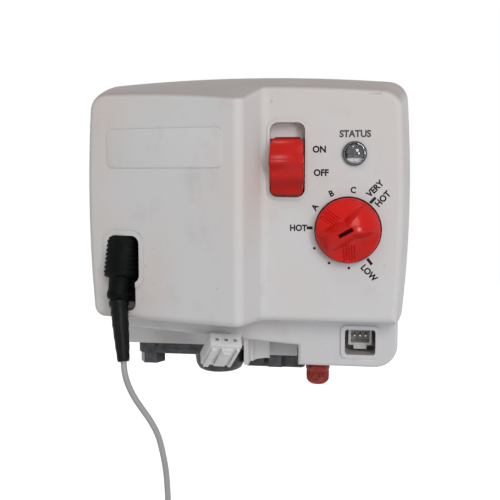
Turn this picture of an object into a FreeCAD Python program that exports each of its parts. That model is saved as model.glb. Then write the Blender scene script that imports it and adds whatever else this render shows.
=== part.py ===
import FreeCAD, Part
import math
import os
import re

import Sketcher

# Electronic gas control valve for a storage water heater.
# Frame: X to the right, Y into the tank, Z up, millimetres. The origin is the
# centre of the tank shank at the plane of the tank wall, so depths in front of
# the tank are distances along minus Y.

# A size given in words follows from other sizes
DIMENSIONS = {
    # Housing outline, as corner distances from the shank axis at three depths
    "seam_depth": 50.0,
    "panel_depth": 95.0,
    "nose_depth": "panel_depth + 21",
    "seam_left": 71.5, "seam_right": 69.5, "seam_top": 62.0,
    "panel_left": 68.0, "panel_right": 64.5, "panel_top": 55.0,
    "nose_left": 65.0, "nose_right": 60.0, "nose_top": 47.5,
    "cover_bottom": 43.0,
    "top_crown": 750.0,
    "side_crown": 570.0,
    "corner_radius": 9.0,
    "foot_radius": 5.0,
    "edge_radius": 3.0,
    "ridge_radius": 4.0,
    "cover_wall": 2.2,
    # Plan of the wedge-shaped left half of the cover
    "ridge_depth": "panel_depth + 18",
    "ridge_place": 0.5,
    "step_run": 7.0,
    "wedge_depth": "panel_depth - 1",
    "wedge_left": 70.0,
    # Slide switch
    "switch_x": "ridge_place + 17.5", "switch_z": "panel_top - 28.4",
    "switch_width": 15.0, "switch_height": 31.4,
    "switch_corner": 3.5,
    "rim_width": 1.1, "rim_height": 0.8,
    "slider_height": 25.4,
    "slider_proud": 3.2,
    "grip_proud": 2.6,
    "hollow_radius": 22.0,
    "slider_travel": 5.4,
    "side_gap": 0.3,
    # Temperature knob
    "knob_x": 43.8, "knob_z": -2.9,
    "knob_radius": 13.6, "knob_height": 11.5, "knob_skirt": 3.0,
    "dome_radius": 15.5, "scoop_radius": 22.6, "scoop_lift": 12.0, "scoop_shift": 6.5, "scoop_out": 20.0,
    "groove_width": 0.55, "groove_depth": 0.5, "groove_pitch": 1.15,
    "slot_length": 6.4, "slot_width": 1.5, "slot_depth": 3.0, "slot_shift": 0.8,
    "knob_gap": 0.5,
    "shaft_radius": 3.0, "shaft_play": 0.05,
    "hub_radius": 5.0,
    # Status lamp
    "lens_x": 46.2, "lens_z": 29.2, "lens_radius": 4.4, "bezel_radius": "lens_radius + 0.7",
    "led_radius": 2.6,
    # Igniter boot and its well in the cover
    "boot_x": -53.2, "boot_top_depth": "wedge_depth", "boot_top_z": -7.6, "boot_lean": 15.0,
    "boot_radius": 6.3, "boot_length": 17.5, "boot_ribs": 7.0,
    "collar_radius": 4.6, "collar_length": 10.5,
    "sleeve_radius": 3.6, "sleeve_length": 26.0,
    "lead_radius": 1.3,
    "well_width": "2 * boot_radius + 2.4", "well_top": -6.0, "well_height": 20.6,
    "channel_width": "2 * collar_radius + 1.8", "channel_height": 12.6,
    # Base moulding
    "plate_thickness": 4.0, "plate_bottom": 64.5,
    "tray_depth": "panel_depth - 12", "tray_wall": 2.2,
    "tray_left": "seam_left - 7.5", "tray_right": "seam_right - 3.5", "tray_bottom": "cover_bottom + 22",
    "band_left_z": "cover_bottom + 6", "band_right_z": "cover_bottom + 13",
    "notch_x": -2.9, "notch_radius": 8.0, "notch_bottom": "tray_bottom + 1.5",
    "step_x": 22.0, "tray_corner": 10.0,
    "tongue_height": 5.0,
    "socket_x": 49.6, "socket_z": -53.6, "socket_width": 13.5, "socket_height": 11.3,
    "socket_depth": 15.0,
    # Circuit board
    "board_depth": "panel_depth - 17", "board_thickness": 1.6,
    "board_left": 55.0, "board_right": 53.0, "board_top": 46.0, "board_bottom": 27.0,
    "standoff_radius": 4.0, "screw_radius": 1.4, "head_radius": 2.8, "head_height": 2.0,
    "thread_gap": 0.05,
    # Valve casting
    "casting_left": 56.0, "casting_right": 48.0, "casting_top": 44.0, "casting_bottom": 67.5,
    "casting_back": 8.0,
    "casting_corner": 8.0,
    "inlet_z": 10.0, "port_depth": 27.0,
    "inlet_boss_radius": 16.0, "inlet_reach": 60.0, "inlet_bore": 9.13, "inlet_length": 20.0,
    "outlet_x": -24.0, "outlet_depth": 24.0, "outlet_boss_radius": 13.0, "outlet_reach": 74.0,
    "outlet_bore": 8.0, "outlet_length": 18.0,
    "pilot_x": 28.7, "pilot_depth": 38.0, "pilot_boss_radius": 7.5, "pilot_reach": 68.0,
    "nipple_radius": 3.6, "nipple_reach": 82.0, "nipple_bore": 2.0,
    "cap_radius": 6.0, "cap_height": 13.0,
    "tap_depth": 38.0, "tap_boss_radius": 7.0, "tap_reach": 71.0,
    "tap_radius": 4.0, "tap_flat": 11.0, "tap_head": 5.5,
    # Tank shank and probe
    "shank_radius": 13.3, "shank_length": 24.0, "shank_bore": 5.2,
    "hex_flat": 38.0,
    "probe_radius": 4.8, "probe_reach": 104.0,
    # Solenoid valves
    "main_x": -18.0, "main_z": -6.0,
    "main_coil_radius": 15.0, "main_coil_depth": 74.0,
    "main_chamber_radius": 13.0, "main_seat_depth": 20.0, "main_disc_radius": 10.0,
    "main_stem_radius": 4.9,
    "relay_x": 20.0, "relay_z": 20.0,
    "relay_coil_radius": 12.0, "relay_coil_depth": 68.0,
    "relay_chamber_radius": 9.5, "relay_seat_depth": 28.0, "relay_disc_radius": 7.0,
    "relay_stem_radius": 3.9,
    "disc_thickness": 3.0, "seat_gap": 0.3, "stem_play": 0.08,
    "spring_wire": 0.7,
}

document = FreeCAD.newDocument("gas_control_valve")
sheet = document.addObject("Spreadsheet::Sheet", "Dims")
for row, (alias, value) in enumerate(DIMENSIONS.items(), start=1):
    sheet.set(f"A{row}", alias)
    sheet.setAlias(f"B{row}", alias)
for row, value in enumerate(DIMENSIONS.values(), start=1):
    sheet.set(f"B{row}", f"={value}")
document.recompute()

X_AXIS = FreeCAD.Vector(1, 0, 0)
Y_AXIS = FreeCAD.Vector(0, 1, 0)
Z_AXIS = FreeCAD.Vector(0, 0, 1)
FRONT = FreeCAD.Vector(0, -1, 0)
DOWN = FreeCAD.Vector(0, 0, -1)
# A sheet name, and not the name of a function such as cos
WORD = r"\b[a-z][a-z_]+\b(?!\()"
# Corner radius of a hexagon for each millimetre across its flats
HEX_CORNER = 1 / math.sqrt(3)
nodes = []


def size(text):
    """Value of a formula of sheet names, as a number."""
    while re.search(WORD, text):
        text = re.sub(WORD, lambda found: f"({DIMENSIONS[found.group()]})", text)
    return float(FreeCAD.Units.Quantity(text).Value)


def formula(text):
    """The same formula as an expression on the sheet."""
    return re.sub(WORD, lambda found: "Dims." + found.group(), text)


def bind(feature, **formulas):
    for name, text in formulas.items():
        feature.setExpression(name, formula(str(text)))
    return feature


def place(feature, x="0", y="0", z="0", axis=None):
    """Bind a feature's position, and point its own Z along an axis."""
    if axis is not None:
        feature.Placement = FreeCAD.Placement(FreeCAD.Vector(), FreeCAD.Rotation(Z_AXIS, axis))
    for letter, text in zip("xyz", (x, y, z)):
        feature.setExpression("Placement.Base." + letter, formula(str(text)))
    return feature


def box(label, low, high):
    """Box between two corners, each given as three formulas."""
    shape = document.addObject("Part::Box", label)
    spans = [f"({top}) - ({bottom})" for bottom, top in zip(low, high)]
    bind(shape, Length=spans[0], Width=spans[1], Height=spans[2])
    return place(shape, *low)


def cylinder(label, radius, height, x, y, z, axis=None):
    shape = document.addObject("Part::Cylinder", label)
    bind(shape, Radius=radius, Height=height)
    return place(shape, x, y, z, axis)


def cone(label, radius, end_radius, height, x, y, z, axis=None):
    shape = document.addObject("Part::Cone", label)
    bind(shape, Radius1=radius, Radius2=end_radius, Height=height)
    return place(shape, x, y, z, axis)


def hexagon(label, flat, height, x, y, z, axis=None):
    shape = document.addObject("Part::Prism", label)
    shape.Polygon = 6
    bind(shape, Circumradius=f"({flat}) * {HEX_CORNER}", Height=height)
    return place(shape, x, y, z, axis)


def fuse(label, shapes):
    joined = document.addObject("Part::MultiFuse", label)
    joined.Shapes = shapes
    joined.Refine = True
    return joined


def cut(label, base, tools):
    tool = tools[0]
    if len(tools) > 1:
        tool = fuse(label + "_tool", tools)
    result = document.addObject("Part::Cut", label)
    result.Base = base
    result.Tool = tool
    return result


def group(label, shapes):
    """Separate like solids kept as one node."""
    bundle = document.addObject("Part::Compound", label)
    bundle.Links = shapes
    return bundle


def node(feature, name):
    """Declare a finished piece under the name of its file."""
    feature.Label = name
    nodes.append(feature)
    return feature


def plane(body, role):
    for feature in body.Origin.OriginFeatures:
        if feature.Role == role:
            return feature
    raise ValueError(role)


def sketch_on(body, name, role, offset="0"):
    sketch = body.newObject("Sketcher::SketchObject", name)
    sketch.AttachmentSupport = [(plane(body, role), "")]
    sketch.MapMode = "FlatFace"
    sketch.setExpression("AttachmentOffset.Base.z", formula(offset))
    return sketch


def fix_point(sketch, geometry, point, x, y):
    """Hold a sketch point at formulas measured from the sketch origin."""
    for kind, text in (("DistanceX", x), ("DistanceY", y)):
        value = size(text)
        ends = (-1, 1, geometry, point)
        if value < 0:
            ends = (geometry, point, -1, 1)
            text = f"-({text})"
        index = sketch.addConstraint(Sketcher.Constraint(kind, *ends, abs(value)))
        sketch.setExpression(f"Constraints[{index}]", formula(text))


def polygon(sketch, points):
    """Closed outline of straight lines through points given as formulas."""
    places = [FreeCAD.Vector(size(x), size(y), 0) for x, y in points]
    count = len(points)
    for index in range(count):
        sketch.addGeometry(Part.LineSegment(places[index], places[(index + 1) % count]))
    for index in range(count):
        sketch.addConstraint(Sketcher.Constraint("Coincident", index, 2, (index + 1) % count, 1))
    for index, (x, y) in enumerate(points):
        fix_point(sketch, index, 1, x, y)
    return sketch


def pad(body, sketch, length, midplane=False, reverse=False):
    feature = body.newObject("PartDesign::Pad", sketch.Name + "_pad")
    feature.Profile = sketch
    feature.Midplane = midplane
    feature.Reversed = reverse
    bind(feature, Length=length)
    return feature


def fillet(body, base, edges, radius):
    feature = body.newObject("PartDesign::Fillet", base.Name + "_round")
    feature.Base = (base, edges)
    bind(feature, Radius=radius)
    document.recompute()
    return feature


def edge_names(feature, test):
    found = []
    for index, edge in enumerate(feature.Shape.Edges, start=1):
        if test(edge):
            found.append(f"Edge{index}")
    return found


def new_body(name):
    return document.addObject("PartDesign::Body", name)


def extrusion(name, role, points, start, length):
    """Body padded from a straight-sided outline, from a depth along the plane's normal."""
    body = new_body(name)
    sketch = polygon(sketch_on(body, name + "_outline", role, start), points)
    pad(body, sketch, length)
    return body


def revolved(name, points):
    """Body turned about Z from a half profile of (radius, height) formulas."""
    body = new_body(name)
    sketch = polygon(sketch_on(body, name + "_profile", "XZ_Plane"), points)
    feature = body.newObject("PartDesign::Revolution", name + "_turn")
    feature.Profile = sketch
    feature.ReferenceAxis = (sketch, ["V_Axis"])
    feature.Angle = 360
    return body


# Housing outline shared by the cover, its cavity and the base plate


def crowned_outline(body, name, depth, left, right, top, bottom):
    """Front outline with bowed sides and top over a straight bottom."""
    sketch = sketch_on(body, name, "XZ_Plane", depth)
    corners = [(f"-({left})", f"-({bottom})"), (f"-({left})", top), (right, top), (right, f"-({bottom})")]
    places = [FreeCAD.Vector(size(x), size(z), 0) for x, z in corners]
    crowns = ["side_crown", "top_crown", "side_crown"]
    for index, crown in enumerate(crowns):
        first, last = places[index], places[index + 1]
        chord = last - first
        rise = chord.Length ** 2 / (8 * size(crown))
        outward = FreeCAD.Vector(-chord.y, chord.x, 0).normalize()
        arc = Part.Arc(first, (first + last) * 0.5 + outward * rise, last)
        sketch.addGeometry(arc)
    sketch.addGeometry(Part.LineSegment(places[3], places[0]))
    # An arc drawn clockwise is stored with its ends swapped
    for index in range(2):
        sketch.addConstraint(Sketcher.Constraint("Coincident", index, 1, index + 1, 2))
    sketch.addConstraint(Sketcher.Constraint("Coincident", 2, 1, 3, 1))
    sketch.addConstraint(Sketcher.Constraint("Coincident", 3, 2, 0, 2))
    for index, (x, z) in enumerate(corners[:3]):
        fix_point(sketch, index, 2, x, z)
    fix_point(sketch, 3, 1, *corners[3])
    for index, crown in enumerate(crowns):
        constraint = sketch.addConstraint(Sketcher.Constraint("Radius", index, size(crown)))
        sketch.setExpression(f"Constraints[{constraint}]", formula(crown))
    return sketch


def along_depth(edge, right_side, upper):
    """True for the lofted corner edge on the given side of the housing."""
    box_of = edge.BoundBox
    middle = box_of.Center
    return box_of.YLength > 20 and (middle.x > 0) == right_side and (middle.z > 0) == upper


def moulding(name, inset, rounded):
    """Lofted block with the cover's wedge-shaped front, shrunk all round by an inset."""
    body = new_body(name)
    sections = []
    for section in ("seam", "panel", "nose"):
        sections.append(crowned_outline(
            body, f"{name}_{section}", f"{section}_depth",
            f"{section}_left - {inset}", f"{section}_right - {inset}",
            f"{section}_top - {inset}", f"cover_bottom - {inset}"))
    document.recompute()
    loft = body.newObject("PartDesign::AdditiveLoft", name + "_loft")
    loft.Profile = sections[0]
    loft.Sections = sections[1:]
    loft.Ruled = False
    document.recompute()
    shape = loft
    for right_side, upper, radius in ((False, True, "corner_radius"), (True, True, "corner_radius"),
                                      (False, False, "foot_radius")):
        edges = edge_names(shape, lambda edge: along_depth(edge, right_side, upper))
        shape = fillet(body, shape, edges, f"{radius} - {inset}")
    front = sketch_on(body, name + "_plan", "XY_Plane")
    beyond = "nose_depth + 30"
    polygon(front, [
        ("-wedge_left - 20", f"-wedge_depth + {inset} + 20 / (wedge_left + ridge_place)"
         " * (ridge_depth - wedge_depth)"),
        (f"ridge_place - {inset} / 3", f"-ridge_depth + {inset}"),
        (f"ridge_place + step_run - {inset} / 3", f"-panel_depth + {inset}"),
        ("panel_right + 30", f"-panel_depth + {inset}"),
        ("panel_right + 30", f"-({beyond})"),
        ("-wedge_left - 20", f"-({beyond})"),
    ])
    pocket = body.newObject("PartDesign::Pocket", name + "_front")
    pocket.Profile = front
    pocket.Type = "ThroughAll"
    pocket.Midplane = True
    document.recompute()
    if not rounded:
        return body
    upright = edge_names(pocket, lambda edge: edge.BoundBox.ZLength > 60 and edge.BoundBox.YLength < 3
                         and abs(edge.BoundBox.Center.x) < 12)
    shape = fillet(body, pocket, upright, "ridge_radius")
    face_edges = []
    for face in shape.Shape.Faces:
        normal = face.normalAt(0.5, 0.5)
        if face.BoundBox.ZLength > 60 and normal.y < -0.2 and abs(normal.z) < 0.05:
            face_edges += face.Edges
    perimeter = edge_names(shape, lambda edge: edge.BoundBox.ZLength < 120 and any(
        edge.isSame(other) for other in face_edges) and not (
            edge.BoundBox.ZLength > 60 and abs(edge.BoundBox.Center.x) < 25))
    fillet(body, shape, perimeter, "edge_radius")
    return body


def rounded_block(name, x, z, width, height, corner, near, far):
    """Block along the depth with rounded upright corners, between two depths."""
    body = new_body(name)
    sides = (f"{x} - ({width}) / 2", f"{x} + ({width}) / 2")
    ends = (f"{z} - ({height}) / 2", f"{z} + ({height}) / 2")
    outline = [(sides[0], ends[0]), (sides[1], ends[0]), (sides[1], ends[1]), (sides[0], ends[1])]
    block = pad(body, polygon(sketch_on(body, name + "_outline", "XZ_Plane", near), outline),
                f"({far}) - ({near})")
    document.recompute()
    upright = edge_names(block, lambda edge: edge.BoundBox.YLength > 0.1)
    fillet(body, block, upright, corner)
    return body


# Front cover: a drafted shell, open at the back, with a wedge and a control panel

RIM_SINK = 4.0
COVER_SCREWS = [("-panel_left + 7", "panel_top - 17"), ("panel_right - 5", "panel_top - 15"),
                ("-panel_left + 5", "-cover_bottom + 15"), ("panel_right - 4.5", "-cover_bottom + 10")]
BOSS_ENDS = ["panel_depth", "panel_depth - cover_wall / 2", "tray_depth - 1", "panel_depth - cover_wall / 2"]
outer = moulding("cover_outer", "0", True)
proud = moulding("cover_proud", "-rim_height", False)
cavity = moulding("cover_cavity", "cover_wall", False)
switch_ring = rounded_block(
    "switch_ring", "switch_x", "switch_z", "switch_width + 2 * rim_width", "switch_height + 2 * rim_width",
    "switch_corner + rim_width", f"panel_depth - {RIM_SINK}", "panel_depth + 5")
well_ring = rounded_block(
    "well_ring", "boot_x", "well_top - well_height / 2", "well_width + 4 * rim_width",
    "well_height + 4 * rim_width", "switch_corner + 2 * rim_width", "panel_depth - 6", "nose_depth")
rings = fuse("rim_blocks", [switch_ring, well_ring])
rims = document.addObject("Part::Common", "rims")
rims.Base = rings
rims.Tool = proud
mouth = box("cover_mouth", ("-tray_left + 2", "-tray_depth - side_gap", "-cover_bottom - 1"),
            ("tray_right - 4.5", "-seam_depth + 1", "-cover_bottom + cover_wall + 1"))
switch_hole = rounded_block("switch_hole", "switch_x", "switch_z", "switch_width", "switch_height",
                            "switch_corner", f"panel_depth - {RIM_SINK} - 2", "panel_depth + 6")
well_hole = rounded_block("well_hole", "boot_x", "well_top - well_height / 2", "well_width", "well_height",
                          "switch_corner", "panel_depth - 9", "nose_depth + 4")
channel = rounded_block("well_channel", "boot_x", "well_top - well_height - channel_height / 2 + 3",
                        "channel_width", "channel_height + 6", "switch_corner", "panel_depth - 9",
                        "nose_depth + 4")
knob_hole = cylinder("knob_hole", "hub_radius + 1", "10", "knob_x", "-panel_depth + 5", "knob_z", FRONT)
lens_hole = cylinder("lens_hole", "lens_radius + 0.25", "10", "lens_x", "-panel_depth + 5", "lens_z", FRONT)
shell = cut("cover_shell", fuse("cover_blank", [outer, rims]),
            [cavity, mouth, switch_hole, well_hole, channel, knob_hole, lens_hole])
posts = []
pilots = []
for index, ((x, z), end) in enumerate(zip(COVER_SCREWS, BOSS_ENDS)):
    posts.append(cylinder(f"cover_post_{index}", "standoff_radius", f"{end} - seam_depth",
                          x, "-seam_depth", z, FRONT))
    pilots.append(cylinder(f"cover_pilot_{index}", "screw_radius + thread_gap", "15",
                           x, "-seam_depth + 1", z, FRONT))
posts.append(box("post_rib", ("-seam_left + 1.4", "-tray_depth + 3", "-cover_bottom + 14"),
                 ("-panel_left + 5", "-seam_depth - 16", "-cover_bottom + 16")))
node(cut("front_cover_cut", fuse("cover_posts", [shell] + posts), pilots), "front_cover")
document.recompute()

# Base moulding: back plate, lower tray, board posts and a recessed socket


def tray_outline(inset):
    """Lower tray seen from the front: a sloping band on the left, a deep panel on the right."""
    left, step, right = f"-tray_left + {inset}", f"step_x + {inset}", f"tray_right - {inset}"
    bottom = f"-tray_bottom + {inset}"
    return [(left, "-cover_bottom"), (left, f"-band_left_z + {inset}"), (step, f"-band_right_z + {inset}"),
            (step, bottom), (right, bottom), (right, "-cover_bottom")]


plate_body = new_body("base_plate")
plate_sketch = crowned_outline(plate_body, "base_plate_outline", "seam_depth - plate_thickness",
                               "seam_left", "seam_right", "seam_top", "cover_bottom")
plate_pad = pad(plate_body, plate_sketch, "plate_thickness")
document.recompute()
fillet(plate_body, plate_pad, edge_names(
    plate_pad, lambda edge: edge.BoundBox.XLength < 0.01 and edge.BoundBox.YLength > 1
    and edge.BoundBox.Center.z > 0), "corner_radius")
flap = box("base_flap", ("-tray_left - 2.8", "-seam_depth", "-plate_bottom"),
           ("tray_right - 2", "-seam_depth + plate_thickness", "-cover_bottom + 5"))
tray_body = extrusion("base_tray", "XZ_Plane", tray_outline("0"), "seam_depth - 1",
                      "tray_depth - seam_depth + 1")
document.recompute()
tray_pad = tray_body.Tip
tray_round = fillet(tray_body, tray_pad, edge_names(
    tray_pad, lambda edge: edge.BoundBox.YLength > 5 and edge.BoundBox.Center.x > 30
    and edge.BoundBox.Center.z < -size("tray_bottom") + 5), "tray_corner")
fillet(tray_body, tray_round, edge_names(
    tray_round, lambda edge: edge.BoundBox.YMax < -size("tray_depth") + 0.01
    and edge.BoundBox.Center.z < -size("cover_bottom") - 1), "tray_wall - 0.6")
tray_space = extrusion("base_tray_space", "XZ_Plane", tray_outline("tray_wall"), "seam_depth - 2",
                       "tray_depth - seam_depth - tray_wall + 2")
tongue = box("base_tongue", ("-tray_left + 3", "-tray_depth", "-cover_bottom - 3"),
             ("tray_right - 5.5", "-tray_depth + tray_wall", "-cover_bottom + tongue_height"))
socket_block = rounded_block("socket_block", "socket_x", "socket_z", "socket_width + 3.4",
                             "socket_height + 3.4", "2.4", "tray_depth - socket_depth - 1.6",
                             "tray_depth + rim_height")
socket_hole = rounded_block("socket_hole", "socket_x", "socket_z", "socket_width", "socket_height", "1.4",
                            "tray_depth - socket_depth", "tray_depth + 4")
# Beside the plug, a rib and a curved wall stand below the band
notch_top = "-band_right_z + 3"
notch_rib = box("notch_rib", ("notch_x", "-tray_depth + 3", "-notch_bottom"),
                ("notch_x + 2", "-tray_depth + 23", notch_top))
wall_place = ("notch_x + 2 + notch_radius", "-tray_depth + 11", "-notch_bottom")
wall_height = f"notch_bottom + {notch_top}"
wall_quarter = cylinder("notch_quarter", "notch_radius + 0.5", wall_height, *wall_place)
wall_quarter.Angle = 90
wall_quarter.Placement.Rotation = FreeCAD.Rotation(Z_AXIS, 90)
notch_wall = cut("notch_wall", wall_quarter, [
    cylinder("notch_hollow", "notch_radius - 1.2", f"{wall_height} + 2", *wall_place)])
plug_notch = box("plug_notch", ("notch_x - 12.6", "-tray_depth - 2", "-band_right_z - 4"),
                 ("notch_x", "-tray_depth + 4", "-band_left_z"))
BOARD_POSTS = [("-board_left + 5", "board_top - 6"), ("board_right - 5", "board_top - 6"),
               ("-board_left + 5", "-board_bottom + 6"), ("board_right - 5", "-board_bottom + 6")]
BASE_SCREWS = [("-casting_right + 8", "casting_top - 8"), ("casting_right - 8", "casting_top - 8"),
               ("-casting_right + 8", "-casting_top + 8"), ("casting_right - 8", "-casting_top + 8")]
board_posts = []
base_holes = [plug_notch, socket_hole]
for index, (x, z) in enumerate(BOARD_POSTS):
    board_posts.append(cylinder(f"board_post_{index}", "standoff_radius", "board_depth - seam_depth + 1",
                                x, "-seam_depth + 1", z, FRONT))
    base_holes.append(cylinder(f"board_pilot_{index}", "screw_radius + thread_gap", "14",
                               x, "-board_depth + 12", z, FRONT))
for index, (x, z) in enumerate(BASE_SCREWS):
    base_holes.append(cylinder(f"base_hole_{index}", "screw_radius + 0.3", "plate_thickness + 4",
                               x, "-seam_depth + plate_thickness + 2", z, FRONT))
for index, (x, z) in enumerate(COVER_SCREWS):
    base_holes.append(cylinder(f"cover_hole_{index}", "screw_radius + 0.3", "plate_thickness + 4",
                               x, "-seam_depth + plate_thickness + 2", z, FRONT))
for valve in ("main", "relay"):
    base_holes.append(cylinder(f"{valve}_window", f"{valve}_coil_radius + 0.6", "plate_thickness + 4",
                               f"{valve}_x", "-seam_depth + plate_thickness + 2", f"{valve}_z", FRONT))
tray = cut("base_tray_shell", fuse("base_tray_solid", [tray_body, tongue]), [tray_space])
base_walls = [plate_body, flap, tray, socket_block, notch_rib, notch_wall]
node(cut("base_housing_cut", fuse("base_blank", base_walls + board_posts), base_holes), "base_housing")
document.recompute()


def screws(name, places, seat, length, axis):
    """Pan-head screws seated at one depth, as one node."""
    made = []
    for index, (x, z) in enumerate(places):
        back = "" if axis is FRONT else "-"
        head = cylinder(f"{name}_head_{index}", "head_radius", "head_height", x,
                        f"{seat} + {back}head_height", z, axis)
        shank = cylinder(f"{name}_shank_{index}", "screw_radius", length, x, seat, z, axis)
        made.append(fuse(f"{name}_{index}", [head, shank]))
    return node(group(name + "_set", made), name)


screws("cover_screws", COVER_SCREWS, "-seam_depth + plate_thickness", "plate_thickness + 9", FRONT)
screws("base_screws", BASE_SCREWS, "-seam_depth", "plate_thickness + 9", Y_AXIS)

# Circuit board and what it carries

board_front = "-board_depth - board_thickness"
board = box("board_blank", ("-board_left", board_front, "-board_bottom"),
            ("board_right", "-board_depth", "board_top"))
board_holes = [cylinder(f"board_hole_{index}", "screw_radius + 0.2", "board_thickness + 4", x,
                        "-board_depth + 2", z, FRONT) for index, (x, z) in enumerate(BOARD_POSTS)]
node(cut("control_board_cut", board, board_holes), "control_board")
screws("board_screws", BOARD_POSTS, board_front, "board_thickness + 9", Y_AXIS)
node(box("ignition_block", ("-board_left - 2", "-panel_depth + 0.6", "board_top - 45"),
         ("-board_left + 25", board_front, "board_top - 18")), "ignition_module")
led_base = cylinder("led_base", "led_radius", "6", "lens_x", board_front, "lens_z", FRONT)
led_tip = document.addObject("Part::Sphere", "led_tip")
bind(led_tip, Radius="led_radius")
place(led_tip, "lens_x", f"{board_front} - 6", "lens_z")
node(fuse("status_led_shape", [led_base, led_tip]), "status_led")
bezel_disc = cylinder("bezel_disc", "bezel_radius", "1", "lens_x", "-panel_depth", "lens_z", FRONT)
bezel_mouth = cylinder("bezel_mouth", "lens_radius + 0.05", "4", "lens_x", "-panel_depth + 2", "lens_z",
                       FRONT)
node(cut("lens_ring", bezel_disc, [bezel_mouth]), "lens_bezel")
lens_dome = document.addObject("Part::Sphere", "lens_dome")
bind(lens_dome, Radius="lens_radius * 1.6")
place(lens_dome, "lens_x", "-panel_depth + lens_radius * 1.6 - 1.8", "lens_z")
lens_rod = cylinder("lens_rod", "lens_radius", "8.4", "lens_x", "-panel_depth + 6", "lens_z", FRONT)
lens = document.addObject("Part::Common", "lens_common")
lens.Base = lens_rod
lens.Tool = lens_dome
node(lens, "status_lens")

# Temperature control

pot_body = cylinder("pot_can", "hub_radius * 1.7", "8.4", "knob_x", board_front, "knob_z", FRONT)
pot_bore = cylinder("pot_bore", "shaft_radius + shaft_play", "4", "knob_x", f"{board_front} - 5.6", "knob_z",
                    FRONT)
node(cut("potentiometer_cut", pot_body, [pot_bore]), "potentiometer")
shaft_end = f"{board_front} - 6"
shaft_length = "panel_depth + knob_gap + knob_height - 4 - board_depth - board_thickness - 6"
shaft_rod = cylinder("knob_shaft_rod", "shaft_radius", shaft_length, "knob_x", shaft_end, "knob_z", FRONT)
node(shaft_rod, "knob_shaft")
# The knob is shaped about Z with its pointer along X, then laid on the panel
knob_turned = revolved("knob_turned", [
    ("shaft_radius + 0.02", "-3.5"), ("hub_radius", "-3.5"), ("hub_radius", "0"), ("knob_radius", "0"),
    ("knob_radius", "knob_skirt"), ("knob_radius - 0.5", "knob_skirt + 0.3"),
    ("knob_radius - 0.5", "knob_height"), ("0", "knob_height"), ("0", "knob_height - 3.9"),
    ("shaft_radius + 0.02", "knob_height - 3.9")])
dome = document.addObject("Part::Sphere", "knob_dome")
bind(dome, Radius="dome_radius")
place(dome, z="knob_height - dome_radius")
knob_domed = document.addObject("Part::Common", "knob_domed")
knob_domed.Base = knob_turned
knob_domed.Tool = dome
GROOVES = 5
GROOVE_LEAN = 67.0
POINTER = 209.6
knob_tools = []
for side, hand in (("left", 1), ("right", -1)):
    centre = ("scoop_shift", f"{hand} * scoop_out", "knob_height + scoop_lift")
    scoop = document.addObject("Part::Sphere", f"scoop_{side}")
    bind(scoop, Radius="scoop_radius")
    knob_tools.append(place(scoop, *centre))
    reach = document.addObject("Part::Sphere", f"groove_reach_{side}")
    bind(reach, Radius="scoop_radius + groove_depth")
    place(reach, *centre)
    blades = []
    for index in range(GROOVES):
        offset = f"({index - (GROOVES - 1) / 2}) * groove_pitch"
        blades.append(box(
            f"groove_{side}_{index}", ("4.6", f"{offset} - groove_width / 2", "knob_skirt + 0.4"),
            ("knob_radius", f"{offset} + groove_width / 2", "knob_height")))
    comb = group(f"grooves_{side}", blades)
    comb.Placement.Rotation = FreeCAD.Rotation(Z_AXIS, hand * GROOVE_LEAN)
    grooves = document.addObject("Part::Common", f"grip_{side}")
    grooves.Base = comb
    grooves.Tool = reach
    knob_tools.append(grooves)
knob_tools.append(box(
    "knob_slot", ("slot_shift - slot_length / 2", "-slot_width / 2", "knob_height - slot_depth"),
    ("slot_shift + slot_length / 2", "slot_width / 2", "knob_height + 1")))
knob = group("knob_place", [cut("knob_cut", knob_domed, knob_tools)])
along = FreeCAD.Vector(math.cos(math.radians(POINTER)), 0, math.sin(math.radians(POINTER)))
knob.Placement.Rotation = FreeCAD.Rotation(along, FRONT.cross(along), FRONT, "ZXY")
place(knob, "knob_x", "-panel_depth - knob_gap", "knob_z")
node(knob, "temperature_knob")

# Power switch: a red cap that slides in a white frame and works a small switch

slider_back = "-panel_depth + cover_wall + 2"
slider_low = "switch_z - switch_height / 2 + side_gap"
slider_high = f"{slider_low} + slider_height"
stem_low = "switch_z - 6.4"
stem_high = "switch_z + 1.6"
frame_front = "-panel_depth + cover_wall + side_gap"
frame_back = f"{slider_back} + 2.5"


def around_switch(side, end):
    """Left, right, low and high of a block that is this much larger than the switch's window."""
    return (f"switch_x - switch_width / 2 - {side}", f"switch_x + switch_width / 2 + {side}",
            f"switch_z - switch_height / 2 - {end}", f"switch_z + switch_height / 2 + {end}")


left, right, low, high = around_switch(3.2, 3.6)
frame_block = box("frame_block", (left, frame_front, low), (right, frame_back, high))
left, right, low, high = around_switch(1.4, 1.8)
frame_space = box("frame_space", (left, f"{frame_front} - 2", low), (right, f"{slider_back} + 0.5", high))
frame_slot = box("frame_slot", ("switch_x - 3", f"{frame_back} - 4", f"{stem_low} - 0.6"),
                 ("switch_x + 3", f"{frame_back} + 2", f"{stem_high} + slider_travel + 0.6"))
node(cut("switch_frame_cut", frame_block, [frame_space, frame_slot]), "switch_frame")
crest = "-panel_depth - slider_proud - grip_proud"
slider_body = new_body("slider_body")
slider_sketch = sketch_on(slider_body, "slider_profile", "YZ_Plane", "switch_x - switch_width / 2 + side_gap")
polygon(slider_sketch, [
    (slider_back, slider_low), ("-panel_depth - slider_proud * 0.5", slider_low),
    ("-panel_depth - slider_proud * 0.85", f"{slider_low} + slider_height * 0.06"),
    (crest, f"{slider_low} + slider_height * 0.5"), (crest, slider_high), (slider_back, slider_high)])
slider_pad = pad(slider_body, slider_sketch, "switch_width - 2 * side_gap")
document.recompute()
fillet(slider_body, slider_pad, edge_names(
    slider_pad, lambda edge: edge.BoundBox.XLength < 0.01 and edge.BoundBox.ZLength < 0.01), "switch_corner")
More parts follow.
